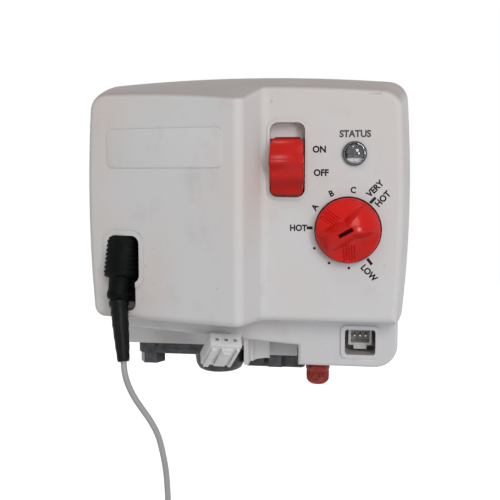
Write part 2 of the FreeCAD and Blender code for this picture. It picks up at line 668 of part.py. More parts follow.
# A hollow above the crest, for the thumb
hollow = cylinder("slider_hollow", "hollow_radius", "switch_width * 2", "switch_x - switch_width",
                  f"{crest} - hollow_radius * 0.79", f"{slider_low} + slider_height * 1.08", X_AXIS)
slider_cap = cut("slider_cap", slider_body, [hollow])
left, right, low, _ = around_switch(1, 1.1)
flange = box("slider_flange", (left, f"{slider_back} - 1.5", low), (right, slider_back, f"{slider_high} - 1"))
stem = box("slider_stem", ("switch_x - 2.4", f"{slider_back} - 1", stem_low),
           ("switch_x + 2.4", f"{board_front} - 5", stem_high))
node(fuse("power_slider_shape", [slider_cap, flange, stem]), "power_slider")
switch_block = box("switch_block", ("switch_x - 6", f"{board_front} - 4.4", "switch_z - 13"),
                   ("switch_x + 6", board_front, "switch_z + 13"))
lever_slot = box("lever_slot", ("switch_x - 2", f"{board_front} - 6", f"{stem_low} + 1.4"),
                 ("switch_x + 2", f"{board_front} - 2", f"{stem_high} + slider_travel - 1.4"))
node(cut("slide_switch_cut", switch_block, [lever_slot]), "slide_switch")
node(box("lever_block", ("switch_x - 1.6", f"{board_front} - 5", f"{stem_low} + 2"),
         ("switch_x + 1.6", f"{board_front} - 2.4", f"{stem_high} - 2")), "switch_lever")
document.recompute()

# Igniter boot, its sleeve and the lead that hangs from it


def on_boot_axis(distance):
    """Place a feature on the leaning boot axis, a distance down from the boot's top."""
    return ("boot_x", f"-boot_top_depth - sin(boot_lean) * ({distance})",
            f"boot_top_z - cos(boot_lean) * ({distance})")


lean_angle = math.radians(size("boot_lean"))
LEAN = FreeCAD.Vector(0, -math.sin(lean_angle), -math.cos(lean_angle))
rib_pitch = "boot_length / boot_ribs"
boot_outline = [("1.6", "0")]
for rib in range(int(size("boot_ribs"))):
    level = f"{rib} * {rib_pitch}"
    boot_outline += [("boot_radius", f"{level} + 0.2"), ("boot_radius", f"{level} + 1.3"),
                     ("boot_radius - 0.9", f"{level} + 1.6"), ("boot_radius - 0.9", f"{level} + 2.4")]
boot_outline += [("collar_radius", "boot_length"), ("collar_radius", "boot_length + collar_length * 0.45"),
                 ("collar_radius - 0.5", "boot_length + collar_length * 0.6"),
                 ("collar_radius - 0.1", "boot_length + collar_length * 0.75"),
                 ("sleeve_radius", "boot_length + collar_length"), ("0", "boot_length + collar_length"),
                 ("0", "10"), ("1.6", "10")]
boot = revolved("boot_turned", boot_outline)
place(boot, *on_boot_axis("0"), LEAN)
node(boot, "igniter_boot")
sleeve = cone("sleeve_cone", "sleeve_radius - 0.2", "lead_radius + 0.7", "sleeve_length",
              *on_boot_axis("boot_length + collar_length"), LEAN)
node(sleeve, "boot_sleeve")
terminal = cylinder("terminal_rod", "1.5", "16.7", *on_boot_axis("8.4"), LEAN * -1)
node(terminal, "spark_terminal")

# Valve casting with its ports and chambers

casting_body = extrusion("casting_body", "XZ_Plane", [
    ("-casting_left", "-casting_bottom"), ("casting_right", "-casting_bottom"),
    ("casting_right", "casting_top"), ("-casting_left", "casting_top")],
    "casting_back", "seam_depth - plate_thickness - casting_back")
document.recompute()
fillet(casting_body, casting_body.Tip, edge_names(
    casting_body.Tip, lambda edge: edge.BoundBox.YLength > 5), "casting_corner")
# Bosses start this far from the shank axis, well inside the casting
BOSS_START = 30
TAPS = ["-casting_left - 1", "notch_x + 10.4"]
bosses = [
    cylinder("inlet_boss", "inlet_boss_radius", f"inlet_reach - {BOSS_START}", BOSS_START, "-port_depth",
             "inlet_z", X_AXIS),
    cylinder("outlet_boss", "outlet_boss_radius", f"outlet_reach - {BOSS_START}", "outlet_x", "-outlet_depth",
             -BOSS_START, DOWN),
    cylinder("pilot_boss", "pilot_boss_radius", f"pilot_reach - {BOSS_START}", "pilot_x", "-pilot_depth",
             -BOSS_START, DOWN),
]
for index, x in enumerate(TAPS):
    bosses.append(cylinder(f"tap_boss_{index}", "tap_boss_radius", "tap_reach - casting_top", x, "-tap_depth",
                           "-casting_top", DOWN))
casting_front = "-seam_depth + plate_thickness"
inlet_end = "inlet_reach - inlet_length"
below_seat = "-main_seat_depth + 4.5"
drillings = [
    cylinder("inlet_thread", "inlet_bore", "inlet_length + 1", inlet_end, "-port_depth", "inlet_z", X_AXIS),
    cylinder("strainer_seat", "inlet_bore - 1.1", "11", f"{inlet_end} - 10", "-port_depth", "inlet_z",
             X_AXIS),
    cylinder("gas_gallery", "5", f"{inlet_end} - 10 - main_x", "main_x", "-port_depth", "inlet_z", X_AXIS),
    cylinder("outlet_thread", "outlet_bore", "outlet_length + 1", "outlet_x", "-outlet_depth",
             "-outlet_reach + outlet_length", DOWN),
    cylinder("outlet_riser", "3.5", "outlet_reach - outlet_length + 2 + main_z", "outlet_x", below_seat,
             "main_z", DOWN),
    cylinder("outlet_cross", "3.5", "main_x - outlet_x", "outlet_x", below_seat, "main_z", X_AXIS),
    cylinder("pilot_riser", "2.5", "pilot_reach + relay_z", "pilot_x", "-pilot_depth", "relay_z", DOWN),
    cylinder("shank_seat", "shank_radius - 1.25", "6", "0", "-casting_back - 5", "0", Y_AXIS),
]
for valve in ("main", "relay"):
    drillings.append(cylinder(f"{valve}_chamber", f"{valve}_chamber_radius",
                              f"seam_depth - plate_thickness - {valve}_seat_depth + 1", f"{valve}_x",
                              f"-{valve}_seat_depth", f"{valve}_z", FRONT))
drillings.append(cylinder("main_seat", "6", "6", "main_x", "-main_seat_depth - 1", "main_z", Y_AXIS))
for index, (x, z) in enumerate(BASE_SCREWS):
    drillings.append(cylinder(f"casting_thread_{index}", "screw_radius + thread_gap", "11", x,
                              f"{casting_front} - 1", z, Y_AXIS))
for index, x in enumerate(TAPS):
    drillings.append(cylinder(f"tap_thread_{index}", "tap_radius + thread_gap", "10", x, "-tap_depth",
                              "-tap_reach + 9", DOWN))
node(cut("casting_cut", fuse("casting_blank", [casting_body] + bosses), drillings), "valve_casting")
taps = []
for index, x in enumerate(TAPS):
    plug_thread = cylinder(f"tap_plug_{index}", "tap_radius", "9", x, "-tap_depth", "-tap_reach + 8", DOWN)
    plug_head = hexagon(f"tap_head_{index}", "tap_flat", "tap_head", x, "-tap_depth", "-tap_reach", DOWN)
    taps.append(fuse(f"tap_{index}", [plug_thread, plug_head]))
node(group("tap_set", taps), "tap_plugs")
strainer_cup = cylinder("strainer_cup", "inlet_bore - 1.15", "9", f"{inlet_end} - 9.6", "-port_depth",
                        "inlet_z", X_AXIS)
strainer_space = cylinder("strainer_space", "inlet_bore - 2.2", "9", f"{inlet_end} - 8.6", "-port_depth",
                          "inlet_z", X_AXIS)
node(cut("strainer_cut", strainer_cup, [strainer_space]), "inlet_strainer")
nipple = fuse("nipple_shape", [
    hexagon("nipple_hex", "12", "4", "pilot_x", "-pilot_depth", "-pilot_reach", DOWN),
    cylinder("nipple_tube", "nipple_radius", "nipple_reach - pilot_reach", "pilot_x", "-pilot_depth",
             "-pilot_reach", DOWN)])
nipple_bore = cylinder("nipple_hole", "nipple_bore", "nipple_reach", "pilot_x", "-pilot_depth",
                       "-pilot_reach + 2", DOWN)
node(cut("pilot_fitting_cut", nipple, [nipple_bore]), "pilot_fitting")
cap_inside = "nipple_radius + 0.05"
cap_turned = revolved("cap_turned", [
    (cap_inside, "0"), (f"{cap_inside} + 1.1", "0"), (f"{cap_inside} + 1.1", "2.6"),
    ("cap_radius - 0.3", "3.2"), ("cap_radius", "4"), ("cap_radius", "cap_height - 5"),
    ("cap_radius - 0.9", "cap_height - 2"),
    ("cap_radius - 2.6", "cap_height"), ("0", "cap_height"), ("0", "nipple_reach - pilot_reach - 4.2"),
    (cap_inside, "nipple_reach - pilot_reach - 4.2")])
place(cap_turned, "pilot_x", "-pilot_depth", "-pilot_reach - 4.4", DOWN)
node(cap_turned, "dust_cap")

# Tank shank and temperature probe

shank = fuse("shank_shape", [
    hexagon("shank_hex", "hex_flat", "casting_back", "0", "-casting_back", "0", Y_AXIS),
    cylinder("shank_thread", "shank_radius", "shank_length", "0", "0", "0", Y_AXIS),
    cylinder("shank_spigot", "shank_radius - 1.3", "5", "0", "-casting_back - 4.8", "0", Y_AXIS)])
shank_hole = cylinder("shank_hole", "shank_bore", "shank_length + casting_back + 10", "0",
                      "-casting_back - 6", "0", Y_AXIS)
node(cut("tank_shank_cut", shank, [shank_hole]), "tank_shank")
probe_tip = document.addObject("Part::Sphere", "probe_tip")
bind(probe_tip, Radius="probe_radius")
place(probe_tip, "0", "probe_reach - probe_radius", "0")
probe_tube = cylinder("probe_tube", "probe_radius", "probe_reach - probe_radius + casting_back + 4.6", "0",
                      "-casting_back - 4.6", "0", Y_AXIS)
node(fuse("probe_shape", [probe_tube, probe_tip]), "sensor_probe")

# Solenoid valves on the casting

for valve, name in (("main", "main_valve"), ("relay", "pilot_valve")):
    coil_length = f"{valve}_coil_depth - seam_depth + plate_thickness"
    coil = cylinder(f"{name}_can", f"{valve}_coil_radius", coil_length, f"{valve}_x", casting_front,
                    f"{valve}_z", FRONT)
    coil_bore = cylinder(f"{name}_coil_bore", f"{valve}_stem_radius + stem_play", f"{coil_length} - 8",
                         f"{valve}_x", f"{casting_front} + 2", f"{valve}_z", FRONT)
    node(cut(f"{name}_coil_cut", coil, [coil_bore]), f"{name}_coil")
    seat = f"-{valve}_seat_depth - seat_gap"
    disc = cylinder(f"{name}_plate", f"{valve}_disc_radius", "disc_thickness", f"{valve}_x", seat,
                    f"{valve}_z", FRONT)
    stem_length = f"{valve}_coil_depth - 14 - {valve}_seat_depth - seat_gap"
    rod = cylinder(f"{name}_rod", f"{valve}_stem_radius", stem_length, f"{valve}_x", seat, f"{valve}_z",
                   FRONT)
    node(fuse(f"{name}_disc_shape", [disc, rod]), f"{name}_disc")
    spring_span = (f"seam_depth - plate_thickness - {valve}_seat_depth - seat_gap - disc_thickness"
                   " - 3 * spring_wire")
    helix = document.addObject("Part::Helix", f"{name}_helix")
    bind(helix, Radius=f"{valve}_stem_radius + 1.6", Height=spring_span, Pitch=f"({spring_span}) / 4")
    helix.SegmentLength = 0
    wire = document.addObject("Part::RegularPolygon", f"{name}_wire")
    wire.Polygon = 6
    bind(wire, Circumradius="spring_wire")
    place(wire, f"{valve}_stem_radius + 1.6", "0", "0", FRONT)
    coil_sweep = document.addObject("Part::Sweep", f"{name}_sweep")
    coil_sweep.Sections = [wire]
    document.recompute()
    coil_sweep.Spine = (helix, [f"Edge{index}" for index in range(1, len(helix.Shape.Edges) + 1)])
    coil_sweep.Solid = True
    coil_sweep.Frenet = True
    spring = group(f"{name}_spring_shape", [coil_sweep])
    place(spring, f"{valve}_x", f"{seat} - disc_thickness - 1.5 * spring_wire", f"{valve}_z", FRONT)
    node(spring, f"{name}_spring")
document.recompute()

# Service socket in the tray and the harness plug below the band

header_back = "-tray_depth + socket_depth"
header_block = box("header_block", ("socket_x - 5.2", f"{header_back} - 9", "socket_z - 2.6"),
                   ("socket_x + 5.2", header_back, "socket_z + socket_height / 2 - 0.6"))
header_space = box("header_space", ("socket_x - 4.2", f"{header_back} - 11", "socket_z - 1.6"),
                   ("socket_x + 4.2", f"{header_back} - 1.4", "socket_z + socket_height / 2 - 1.6"))
latch = box("header_latch", ("socket_x - 2.9", f"{header_back} - 9", "socket_z - 4.4"),
            ("socket_x + 2.9", header_back, "socket_z - 2.6"))
node(cut("header_cut", fuse("header_shape", [header_block, latch]), [header_space]), "service_header")
pins = []
for index in (-1, 0, 1):
    pins.append(box(f"header_pin_{index + 1}", (f"socket_x + {index * 2.5} - 0.35", f"{header_back} - 7.6",
                                               "socket_z + 1"),
                    (f"socket_x + {index * 2.5} + 0.35", f"{header_back} - 1.4", "socket_z + 1.7")))
node(group("header_pin_set", pins), "header_pins")
# The plug is shaped hanging from the origin, then turned as it hangs below the band
PLUG_PITCH = 3.9
plug_body = box("plug_body", ("-6.3", "-4", "-17"), ("6.3", "4", "0"))
plug_latch = box("plug_latch", ("-3", "-5.6", "-16"), ("3", "-4", "-8.6"))
plug_tools = []
for index in (-1, 0, 1):
    across = index * PLUG_PITCH
    plug_tools.append(box(f"plug_window_{index + 1}", (f"{across} - 0.8", "-5", "-6.2"),
                          (f"{across} + 0.8", "-2", "-4.8")))
    plug_tools.append(box(f"plug_port_{index + 1}", (f"{across} - 1.3", "-2", "-18"),
                          (f"{across} + 1.3", "2", "-8")))
plug = group("plug_place", [cut("plug_cut", fuse("plug_solid", [plug_body, plug_latch]), plug_tools)])
plug_turn = FreeCAD.Rotation(Y_AXIS, 9).multiply(FreeCAD.Rotation(Z_AXIS, 26))
plug.Placement.Rotation = plug_turn.multiply(FreeCAD.Rotation(X_AXIS, -20))
place(plug, "notch_x - 5.3", "-tray_depth - 4.3", "-band_left_z + 0.4")
node(plug, "harness_plug")

# Lead: a hanging run, then the spare length as a tied coil with its terminal

# Points of the run and the coil's centre, measured from the sleeve's end
LEAD_ROUTE = [(0.3, -1.6, -6.2), (2.6, -2.6, -13.2), (6.6, -2.9, -19.8), (12.0, -2.8, -25.6),
              (16.6, -2.4, -31.8), (19.4, -1.7, -39.0), (20.6, -1.0, -47.2), (21.0, -0.4, -56.2),
              (21.1, 0.0, -65.7), (21.2, 0.1, -75.2)]
COIL_MIDDLE = (35.5, 5.6, -83.2)
COIL_RADIUS = 14.3
COIL_TURNS = 4.25
TAIL = 11
RUN_SHARE = 0.45


def cord_path(points):
    """Straight runs joined by tangent arcs, each as large as its two runs allow."""
    edges = []
    start = points[0]
    for before, corner, after in zip(points, points[1:], points[2:]):
        arriving = (corner - before).normalize()
        leaving = (after - corner).normalize()
        turn = arriving.getAngle(leaving)
        trim = RUN_SHARE * min((corner - before).Length, (after - corner).Length)
        first = corner - arriving * trim
        last = corner + leaving * trim
        radius = trim / math.tan(turn / 2)
        inward = (leaving - arriving).normalize()
        middle = corner + inward * (radius / math.cos(turn / 2) - radius)
        edges.append(Part.LineSegment(start, first).toShape())
        edges.append(Part.Arc(first, middle, last).toShape())
        print("lead bend radius", round(radius, 1))
        start = last
    edges.append(Part.LineSegment(start, points[-1]).toShape())
    return Part.Wire(edges)


document.recompute()
lead_start = FreeCAD.Vector(sleeve.Placement.Base) + LEAN * size("sleeve_length")
lead_points = [lead_start] + [lead_start + FreeCAD.Vector(*point) for point in LEAD_ROUTE]
path = cord_path(lead_points)
profile = Part.Wire(Part.makeCircle(size("lead_radius"), lead_points[0], lead_points[1] - lead_points[0]))
lead = document.addObject("Part::Feature", "lead_tube")
lead.Shape = path.makePipeShell([profile], True, False)
expected = math.pi * size("lead_radius") ** 2 * path.Length
print("lead volume share", lead.Shape.Volume / expected, "length", path.Length)
node(lead, "ignition_lead")
coil_x, coil_y, coil_z = lead_start + FreeCAD.Vector(*COIL_MIDDLE)
coil_width = f"2 * lead_radius * {COIL_TURNS + 1}"
ring_front = f"{coil_y} - lead_radius * {COIL_TURNS + 1}"
ring_out = cylinder("lead_ring_out", f"{COIL_RADIUS} + lead_radius + 0.2", coil_width, coil_x, ring_front,
                    coil_z, Y_AXIS)
ring_in = cylinder("lead_ring_in", f"{COIL_RADIUS} - lead_radius - 0.2", f"{coil_width} + 4", coil_x,
                   f"{ring_front} - 2", coil_z, Y_AXIS)
ring = cut("lead_ring", ring_out, [ring_in])
tail_y = f"{ring_front} + {coil_width} - lead_radius"
tail_z = coil_z - COIL_RADIUS
tail = cylinder("lead_tail", "lead_radius", TAIL, coil_x, tail_y, tail_z, X_AXIS)
node(fuse("lead_coil_shape", [ring, tail]), "lead_coil")
terminal_x = coil_x + TAIL
node(fuse("lead_terminal_shape", [
    cylinder("terminal_sleeve", "2.2", "11", terminal_x, tail_y, tail_z, X_AXIS),
    box("terminal_blade", (terminal_x + 9, f"{tail_y} - 0.4", tail_z - 1.5),
        (terminal_x + 17, f"{tail_y} + 0.4", tail_z + 1.5))]), "lead_terminal")
tie_x = coil_x + COIL_RADIUS
tie_out = box("tie_out", (f"{tie_x} - lead_radius - 1.4", f"{ring_front} - 1.2", coil_z - 1.3),
              (f"{tie_x} + lead_radius + 1.4", f"{ring_front} + {coil_width} + 1.2", coil_z + 1.3))
tie_in = box("tie_in", (f"{tie_x} - lead_radius - 0.4", f"{ring_front} - 0.1", coil_z - 3),
             (f"{tie_x} + lead_radius + 0.4", f"{ring_front} + {coil_width} + 0.1", coil_z + 3))
node(cut("lead_tie_cut", tie_out, [tie_in]), "lead_tie")
document.recompute()

# Check every feature, then write one file for each piece

for feature in document.Objects:
    if "Invalid" in feature.State or "Error" in feature.State:
        raise RuntimeError(f"{feature.Name} failed: {feature.State}")
for feature in nodes:
    if feature.Shape.isNull() or not feature.Shape.isValid():
        raise RuntimeError(f"{feature.Label} has no valid shape")
os.makedirs("parts", exist_ok=True)
for feature in nodes:
    feature.Shape.exportStep(f"parts/{feature.Label}.step")
print(len(nodes), "pieces written")
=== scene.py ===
import math

import bmesh
import bpy
from mathutils import Matrix, Vector


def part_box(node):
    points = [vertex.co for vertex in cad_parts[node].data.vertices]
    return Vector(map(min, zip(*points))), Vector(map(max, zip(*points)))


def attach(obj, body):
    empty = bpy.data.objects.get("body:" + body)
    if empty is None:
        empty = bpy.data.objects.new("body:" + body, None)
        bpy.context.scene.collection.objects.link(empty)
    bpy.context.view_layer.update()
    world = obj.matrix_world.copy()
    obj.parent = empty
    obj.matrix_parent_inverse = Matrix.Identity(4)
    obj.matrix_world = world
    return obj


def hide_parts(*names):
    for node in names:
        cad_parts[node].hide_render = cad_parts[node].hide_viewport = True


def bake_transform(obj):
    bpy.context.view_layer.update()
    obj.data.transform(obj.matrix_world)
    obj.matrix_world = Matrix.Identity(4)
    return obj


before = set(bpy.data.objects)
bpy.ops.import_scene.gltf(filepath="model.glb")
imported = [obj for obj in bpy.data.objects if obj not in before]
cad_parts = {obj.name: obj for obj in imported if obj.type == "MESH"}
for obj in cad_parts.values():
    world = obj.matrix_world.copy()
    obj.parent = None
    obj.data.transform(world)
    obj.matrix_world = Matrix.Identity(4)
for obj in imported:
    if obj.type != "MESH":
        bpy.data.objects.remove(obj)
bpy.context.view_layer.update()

bl_info = {
    "name": "Gas control valve looks",
    "version": (1, 0, 0),
    "blender": (4, 5, 0),
    "location": "View3D > Sidebar > Gas valve",
    "description": "Finishes, printing, lead and stage around the gas control valve",
    "category": "Object",
}

MM = 0.001
HOUSING = "housing"
UP = Vector((0, 0, 1))
WHITE = (1, 1, 1, 1)
# Turns a shape's own Z to the front, with its Y up, as the printing and the round controls face
FACING_FRONT = Matrix.Rotation(math.pi / 2, 4, "X")


def linear(hex_colour):
    """Linear colour of an sRGB hex value."""
    channels = [int(hex_colour[i:i + 2], 16) / 255 for i in (1, 3, 5)]
    return [c / 12.92 if c <= 0.04045 else ((c + 0.055) / 1.055) ** 2.4 for c in channels]


def rgba(colour):
    return (*colour, 1.0)


def shade(hex_colour):
    return rgba(linear(hex_colour))


def per(size_mm):
    """Texture scale, in features for each metre, of a pattern of this size."""
    return 1 / (size_mm * MM)


class ValveFinish(bpy.types.PropertyGroup):
    """Colours of the mouldings and controls."""

    cover: bpy.props.FloatVectorProperty(
        name="Cover", description="Front cover moulding", subtype="COLOR", default=linear("#CDCDCE"))
    base: bpy.props.FloatVectorProperty(
        name="Base", description="Base moulding", subtype="COLOR", default=linear("#CCCBCE"))
    control: bpy.props.FloatVectorProperty(
        name="Controls", description="Knob and switch cap", subtype="COLOR", default=linear("#CC130A"))
    cap: bpy.props.FloatVectorProperty(
        name="Dust cap", description="Cap on the pilot outlet", subtype="COLOR", default=linear("#9E3229"))
    lead: bpy.props.FloatVectorProperty(
        name="Lead", description="Jacket of the igniter lead", subtype="COLOR", default=linear("#9E9D9D"))


class ValvePrint(bpy.types.PropertyGroup):
    """Printing on the control panel and the bare plate on the wedge."""

    cap_height: bpy.props.FloatProperty(
        name="Letter height", description="Height of a capital", unit="LENGTH", default=2.9 * MM)
    film: bpy.props.FloatProperty(
        name="Ink film", description="Thickness of the printing", unit="LENGTH", default=0.03 * MM)
    dial_radius: bpy.props.FloatProperty(
        name="Dial radius", description="From the knob's axis to the marks", unit="LENGTH", default=16.2 * MM)
    plate_width: bpy.props.FloatProperty(
        name="Plate width", description="Bare plate, along the wedge", unit="LENGTH", default=55.2 * MM)
    plate_height: bpy.props.FloatProperty(
        name="Plate height", description="Bare plate, upwards", unit="LENGTH", default=16.7 * MM)
    plate_corner: bpy.props.FloatProperty(
        name="Plate corner", description="Corner radius of the plate", unit="LENGTH", default=2.8 * MM)
    plate_proud: bpy.props.FloatProperty(
        name="Plate height above the wedge", description="How far the plate stands out", unit="LENGTH",
        default=0.35 * MM)


class ValveLead(bpy.types.PropertyGroup):
    """The igniter lead and its put-away length."""

    diameter: bpy.props.FloatProperty(
        name="Diameter", description="Over the jacket", unit="LENGTH", default=2.6 * MM)
    coil_radius: bpy.props.FloatProperty(
        name="Coil radius", description="To the middle of the lead", unit="LENGTH", default=14.3 * MM)
    coil_turns: bpy.props.FloatProperty(
        name="Turns", description="Turns in the coil", default=4.25)
    tail: bpy.props.FloatProperty(
        name="Tail", description="From the coil to the terminal", unit="LENGTH", default=11 * MM)


class ValveStage(bpy.types.PropertyGroup):
    """Camera, floor and lights."""

    azimuth: bpy.props.FloatProperty(
        name="Azimuth", description="Camera to the right of the front", unit="ROTATION",
        default=math.radians(8.0))
    elevation: bpy.props.FloatProperty(
        name="Elevation", description="Camera above the horizon", unit="ROTATION", default=math.radians(5.9))
    distance: bpy.props.FloatProperty(
        name="Distance", description="Camera to the panel", unit="LENGTH", default=335 * MM)
    lens: bpy.props.FloatProperty(
        name="Lens", description="Focal length on a 36 mm sensor, in millimetres", default=55.94)
    floor_drop: bpy.props.FloatProperty(
        name="Floor drop", description="Floor below the tank shank", unit="LENGTH", default=620 * MM)
    key_power: bpy.props.FloatProperty(
        name="Key light", description="Power of the large front light, in watts", default=6.0)
    glint_power: bpy.props.FloatProperty(
        name="Glint", description="Power of the small light that shows the gloss, in watts", default=2.8)
    crest_power: bpy.props.FloatProperty(
        name="Crest light", description="Power of the small light overhead, in watts", default=1.2)
    sky: bpy.props.FloatProperty(
        name="Sky", description="Strength of the even light from all round", default=0.44)


GROUPS = {"valve_finish": ValveFinish, "valve_print": ValvePrint, "valve_lead": ValveLead,
          "valve_stage": ValveStage}


# Materials


def fill(tree, node, sockets):
    """Set a node's inputs, or link them to a socket or to another node's first output."""
    for name, value in sockets.items():
        if isinstance(value, bpy.types.Node):
            value = value.outputs[0]
        if isinstance(value, bpy.types.NodeSocket):
            tree.links.new(value, node.inputs[name])
        else:
            node.inputs[name].default_value = value


def add(tree, kind, sockets, **settings):
    """Add a node with its settings, and its inputs set or linked."""
    node = tree.nodes.new(kind)
    for name, value in settings.items():
        setattr(node, name, value)
    fill(tree, node, sockets)
    return node


def start(name):
    """A new material with its tree, its shader and the object's own coordinates."""
    made = bpy.data.materials.new(name)
    made.use_nodes = True
    tree = made.node_tree
    place = add(tree, "ShaderNodeTexCoord", {}).outputs["Object"]
    return made, tree, tree.nodes["Principled BSDF"], place


def patches(tree, place, size_mm, edges, ends=(0.0, 1.0), detail=4.0):
    """Soft-edged patches of noise of about this size, which run between two end values."""
    noise = add(tree, "ShaderNodeTexNoise", {
        "Vector": place, "Scale": per(size_mm), "Detail": detail, "Roughness": 0.6})
    return add(tree, "ShaderNodeMapRange", {
        "Value": noise, "From Min": edges[0], "From Max": edges[1], "To Min": ends[0], "To Max": ends[1]})


def mottled(tree, place, colour, other, size_mm, edges, ends=(0.0, 1.0), detail=4.0):
    """A colour with patches of another in it."""
    share = patches(tree, place, size_mm, edges, ends, detail)
    return add(tree, "ShaderNodeMixRGB", {"Fac": share, "Color1": colour, "Color2": other})


def grain(tree, place, size_mm, depth_mm, strength, detail=2.0):
    """Bump of a fine surface grain."""
    noise = add(tree, "ShaderNodeTexNoise", {"Vector": place, "Scale": per(size_mm), "Detail": detail})
    return add(tree, "ShaderNodeBump", {"Height": noise, "Distance": depth_mm * MM, "Strength": strength})


def moulded_abs(name, colour, aged, grime_and_shade):
    """Spark-eroded ABS moulding: satin white with a fine grain, a little yellowing, handling marks, and painted
    shade on what faces up.
    """
    made, tree, shader, place = start(name)
    yellowed = mottled(tree, place, rgba(colour), shade(aged), 60, (0.35, 0.7), detail=2.0)
    handled = mottled(tree, place, yellowed, shade(grime_and_shade), 13, (0.55, 0.8), (0.0, 0.3), 6.0)
    # Specks of dirt, in loose groups
    groups = patches(tree, place, 30, (0.55, 0.7), detail=1.0)
    specks = patches(tree, place, 1.5, (0.8, 0.84), (0.0, 0.35), 0.0)
    dirt = add(tree, "ShaderNodeMath", {0: groups, 1: specks}, operation="MULTIPLY")
    dotted = add(tree, "ShaderNodeMixRGB", {"Fac": dirt, "Color1": handled, "Color2": shade("#7C746E")})
    # Painted shade: what faces up is darkened, standing in for the top getting less light
    facing = add(tree, "ShaderNodeNewGeometry", {}).outputs["Normal"]
    upward = add(tree, "ShaderNodeSeparateXYZ", {"Vector": facing}).outputs["Z"]
    painted_top_shade = add(tree, "ShaderNodeMapRange", {
        "Value": upward, "From Min": 0.15, "From Max": 0.6, "To Max": 0.85})
    top_shaded = add(tree, "ShaderNodeMixRGB", {"Fac": painted_top_shade, "Color1": dotted, "Color2": shade("#9F9694")})
    # The eroded grain is about 0.3 mm, drawn at 0.9 mm so that it shows
    fill(tree, shader, {"Base Color": top_shaded, "IOR": 1.53, "Specular IOR Level": 0.1,
                        "Roughness": patches(tree, place, 17, (0.3, 0.7), (0.48, 0.6), 3.0),
                        "Normal": grain(tree, place, 0.9, 0.05, 0.2)})
    return made


def polished_abs(name, colour, lean, depth):
    """ABS from a polished tool: deep red with a clear gloss, hairline scuffs, and painted shade darkening it
    towards this depth.
    """
    made, tree, shader, place = start(name)
    deep = [0.8 * c for c in colour]
    clean = mottled(tree, place, rgba(colour), rgba(deep), 14, (0.35, 0.65), detail=3.0)
    # Painted shade: the red darkens towards this depth by the panel, standing in for the shadow in the gap and
    # hollows
    inward = add(tree, "ShaderNodeSeparateXYZ", {"Vector": place}).outputs["Y"]
    painted_shade_near_panel = add(tree, "ShaderNodeMapRange", {
        "Value": inward, "From Min": depth - 1.6 * MM, "From Max": depth, "To Max": 0.85})
    body = add(tree, "ShaderNodeMixRGB", {"Fac": painted_shade_near_panel, "Color1": clean, "Color2": shade("#3A0806")})
    # Hairlines 0.35 mm apart run across the finger's way
    slanted = add(tree, "ShaderNodeMapping", {
        "Vector": place, "Rotation": (0.0, lean, 0.0), "Scale": (1.0, 1.0, 0.08)})
    scuffed = mottled(tree, slanted, body, shade("#E0766C"), 0.35, (0.64, 0.8), (0.0, 0.05), 1.0)
    fill(tree, shader, {"Base Color": scuffed, "IOR": 1.53, "Specular IOR Level": 0.18,
                        "Roughness": patches(tree, place, 6, (0.3, 0.7), (0.16, 0.24), 5.0),
                        "Normal": grain(tree, place, 1.4, 0.03, 0.1)})
    return made


def dipped_vinyl(name, colour):
    """Dipped soft vinyl: dull red, with dusty and with dark patches."""
    made, tree, shader, place = start(name)
    dusty = mottled(tree, place, rgba(colour), shade("#B5857A"), 2.6, (0.5, 0.7), (0.0, 0.45), 6.0)
    dark = mottled(tree, place, dusty, shade("#571512"), 1.6, (0.5, 0.66), (0.0, 0.6))
    fill(tree, shader, {"Base Color": dark, "IOR": 1.52, "Specular IOR Level": 0.25,
                        "Roughness": patches(tree, place, 2, (0.3, 0.7), (0.4, 0.6)),
                        "Normal": grain(tree, place, 0.8, 0.08, 0.3)})
    return made


def moulded_rubber(name, colour, bloom):
    """Moulded rubber or resin: near black and matt, with a faint grey bloom."""
    made, tree, shader, place = start(name)
    body = mottled(tree, place, shade(colour), shade(bloom), 5, (0.45, 0.75), (0.0, 0.6), 5.0)
    fill(tree, shader, {"Base Color": body, "IOR": 1.43, "Specular IOR Level": 0.08,
                        "Roughness": patches(tree, place, 3, (0.3, 0.7), (0.45, 0.65)),
                        "Normal": grain(tree, place, 0.5, 0.06, 0.3)})
    return made


def shrunk_tube(name, colour, streak):
    """Heat-shrunk polyolefin: black with a low sheen and long wrinkles."""
    made, tree, shader, place = start(name)
    along = add(tree, "ShaderNodeMapping", {"Vector": place, "Scale": (1.0, 1.0, 0.12)})
    body = mottled(tree, along, shade(colour), shade(streak), 0.9, (0.4, 0.7), (0.0, 0.6), 3.0)
    fill(tree, shader, {"Base Color": body, "IOR": 1.5, "Specular IOR Level": 0.1,
                        "Roughness": patches(tree, along, 0.9, (0.4, 0.7), (0.32, 0.48), 3.0),
                        "Normal": grain(tree, along, 1.2, 0.1, 0.3)})
    return made


def lead_jacket(name, colour):
    """Extruded silicone jacket: pale grey and satin, with grubby stretches."""
    made, tree, shader, place = start(name)
    grubby = mottled(tree, place, rgba(colour), shade("#8E8A87"), 9, (0.45, 0.75), (0.0, 0.5), 5.0)
    fill(tree, shader, {"Base Color": grubby, "IOR": 1.43, "Specular IOR Level": 0.35,
                        "Roughness": patches(tree, place, 4, (0.3, 0.7), (0.36, 0.5)),
                        "Normal": grain(tree, place, 0.7, 0.03, 0.2)})
    return made


def moulded_nylon(name, colour, shadow):
    """Nylon connector moulding: milky off-white, satin, a little darker in patches."""
    made, tree, shader, place = start(name)
    body = mottled(tree, place, shade(colour), shade(shadow), 4, (0.4, 0.7), (0.0, 0.5))
    fill(tree, shader, {"Base Color": body, "IOR": 1.53, "Specular IOR Level": 0.4,
                        "Roughness": patches(tree, place, 3, (0.3, 0.7), (0.38, 0.52)),
                        "Normal": grain(tree, place, 0.7, 0.03, 0.15)})
    return made


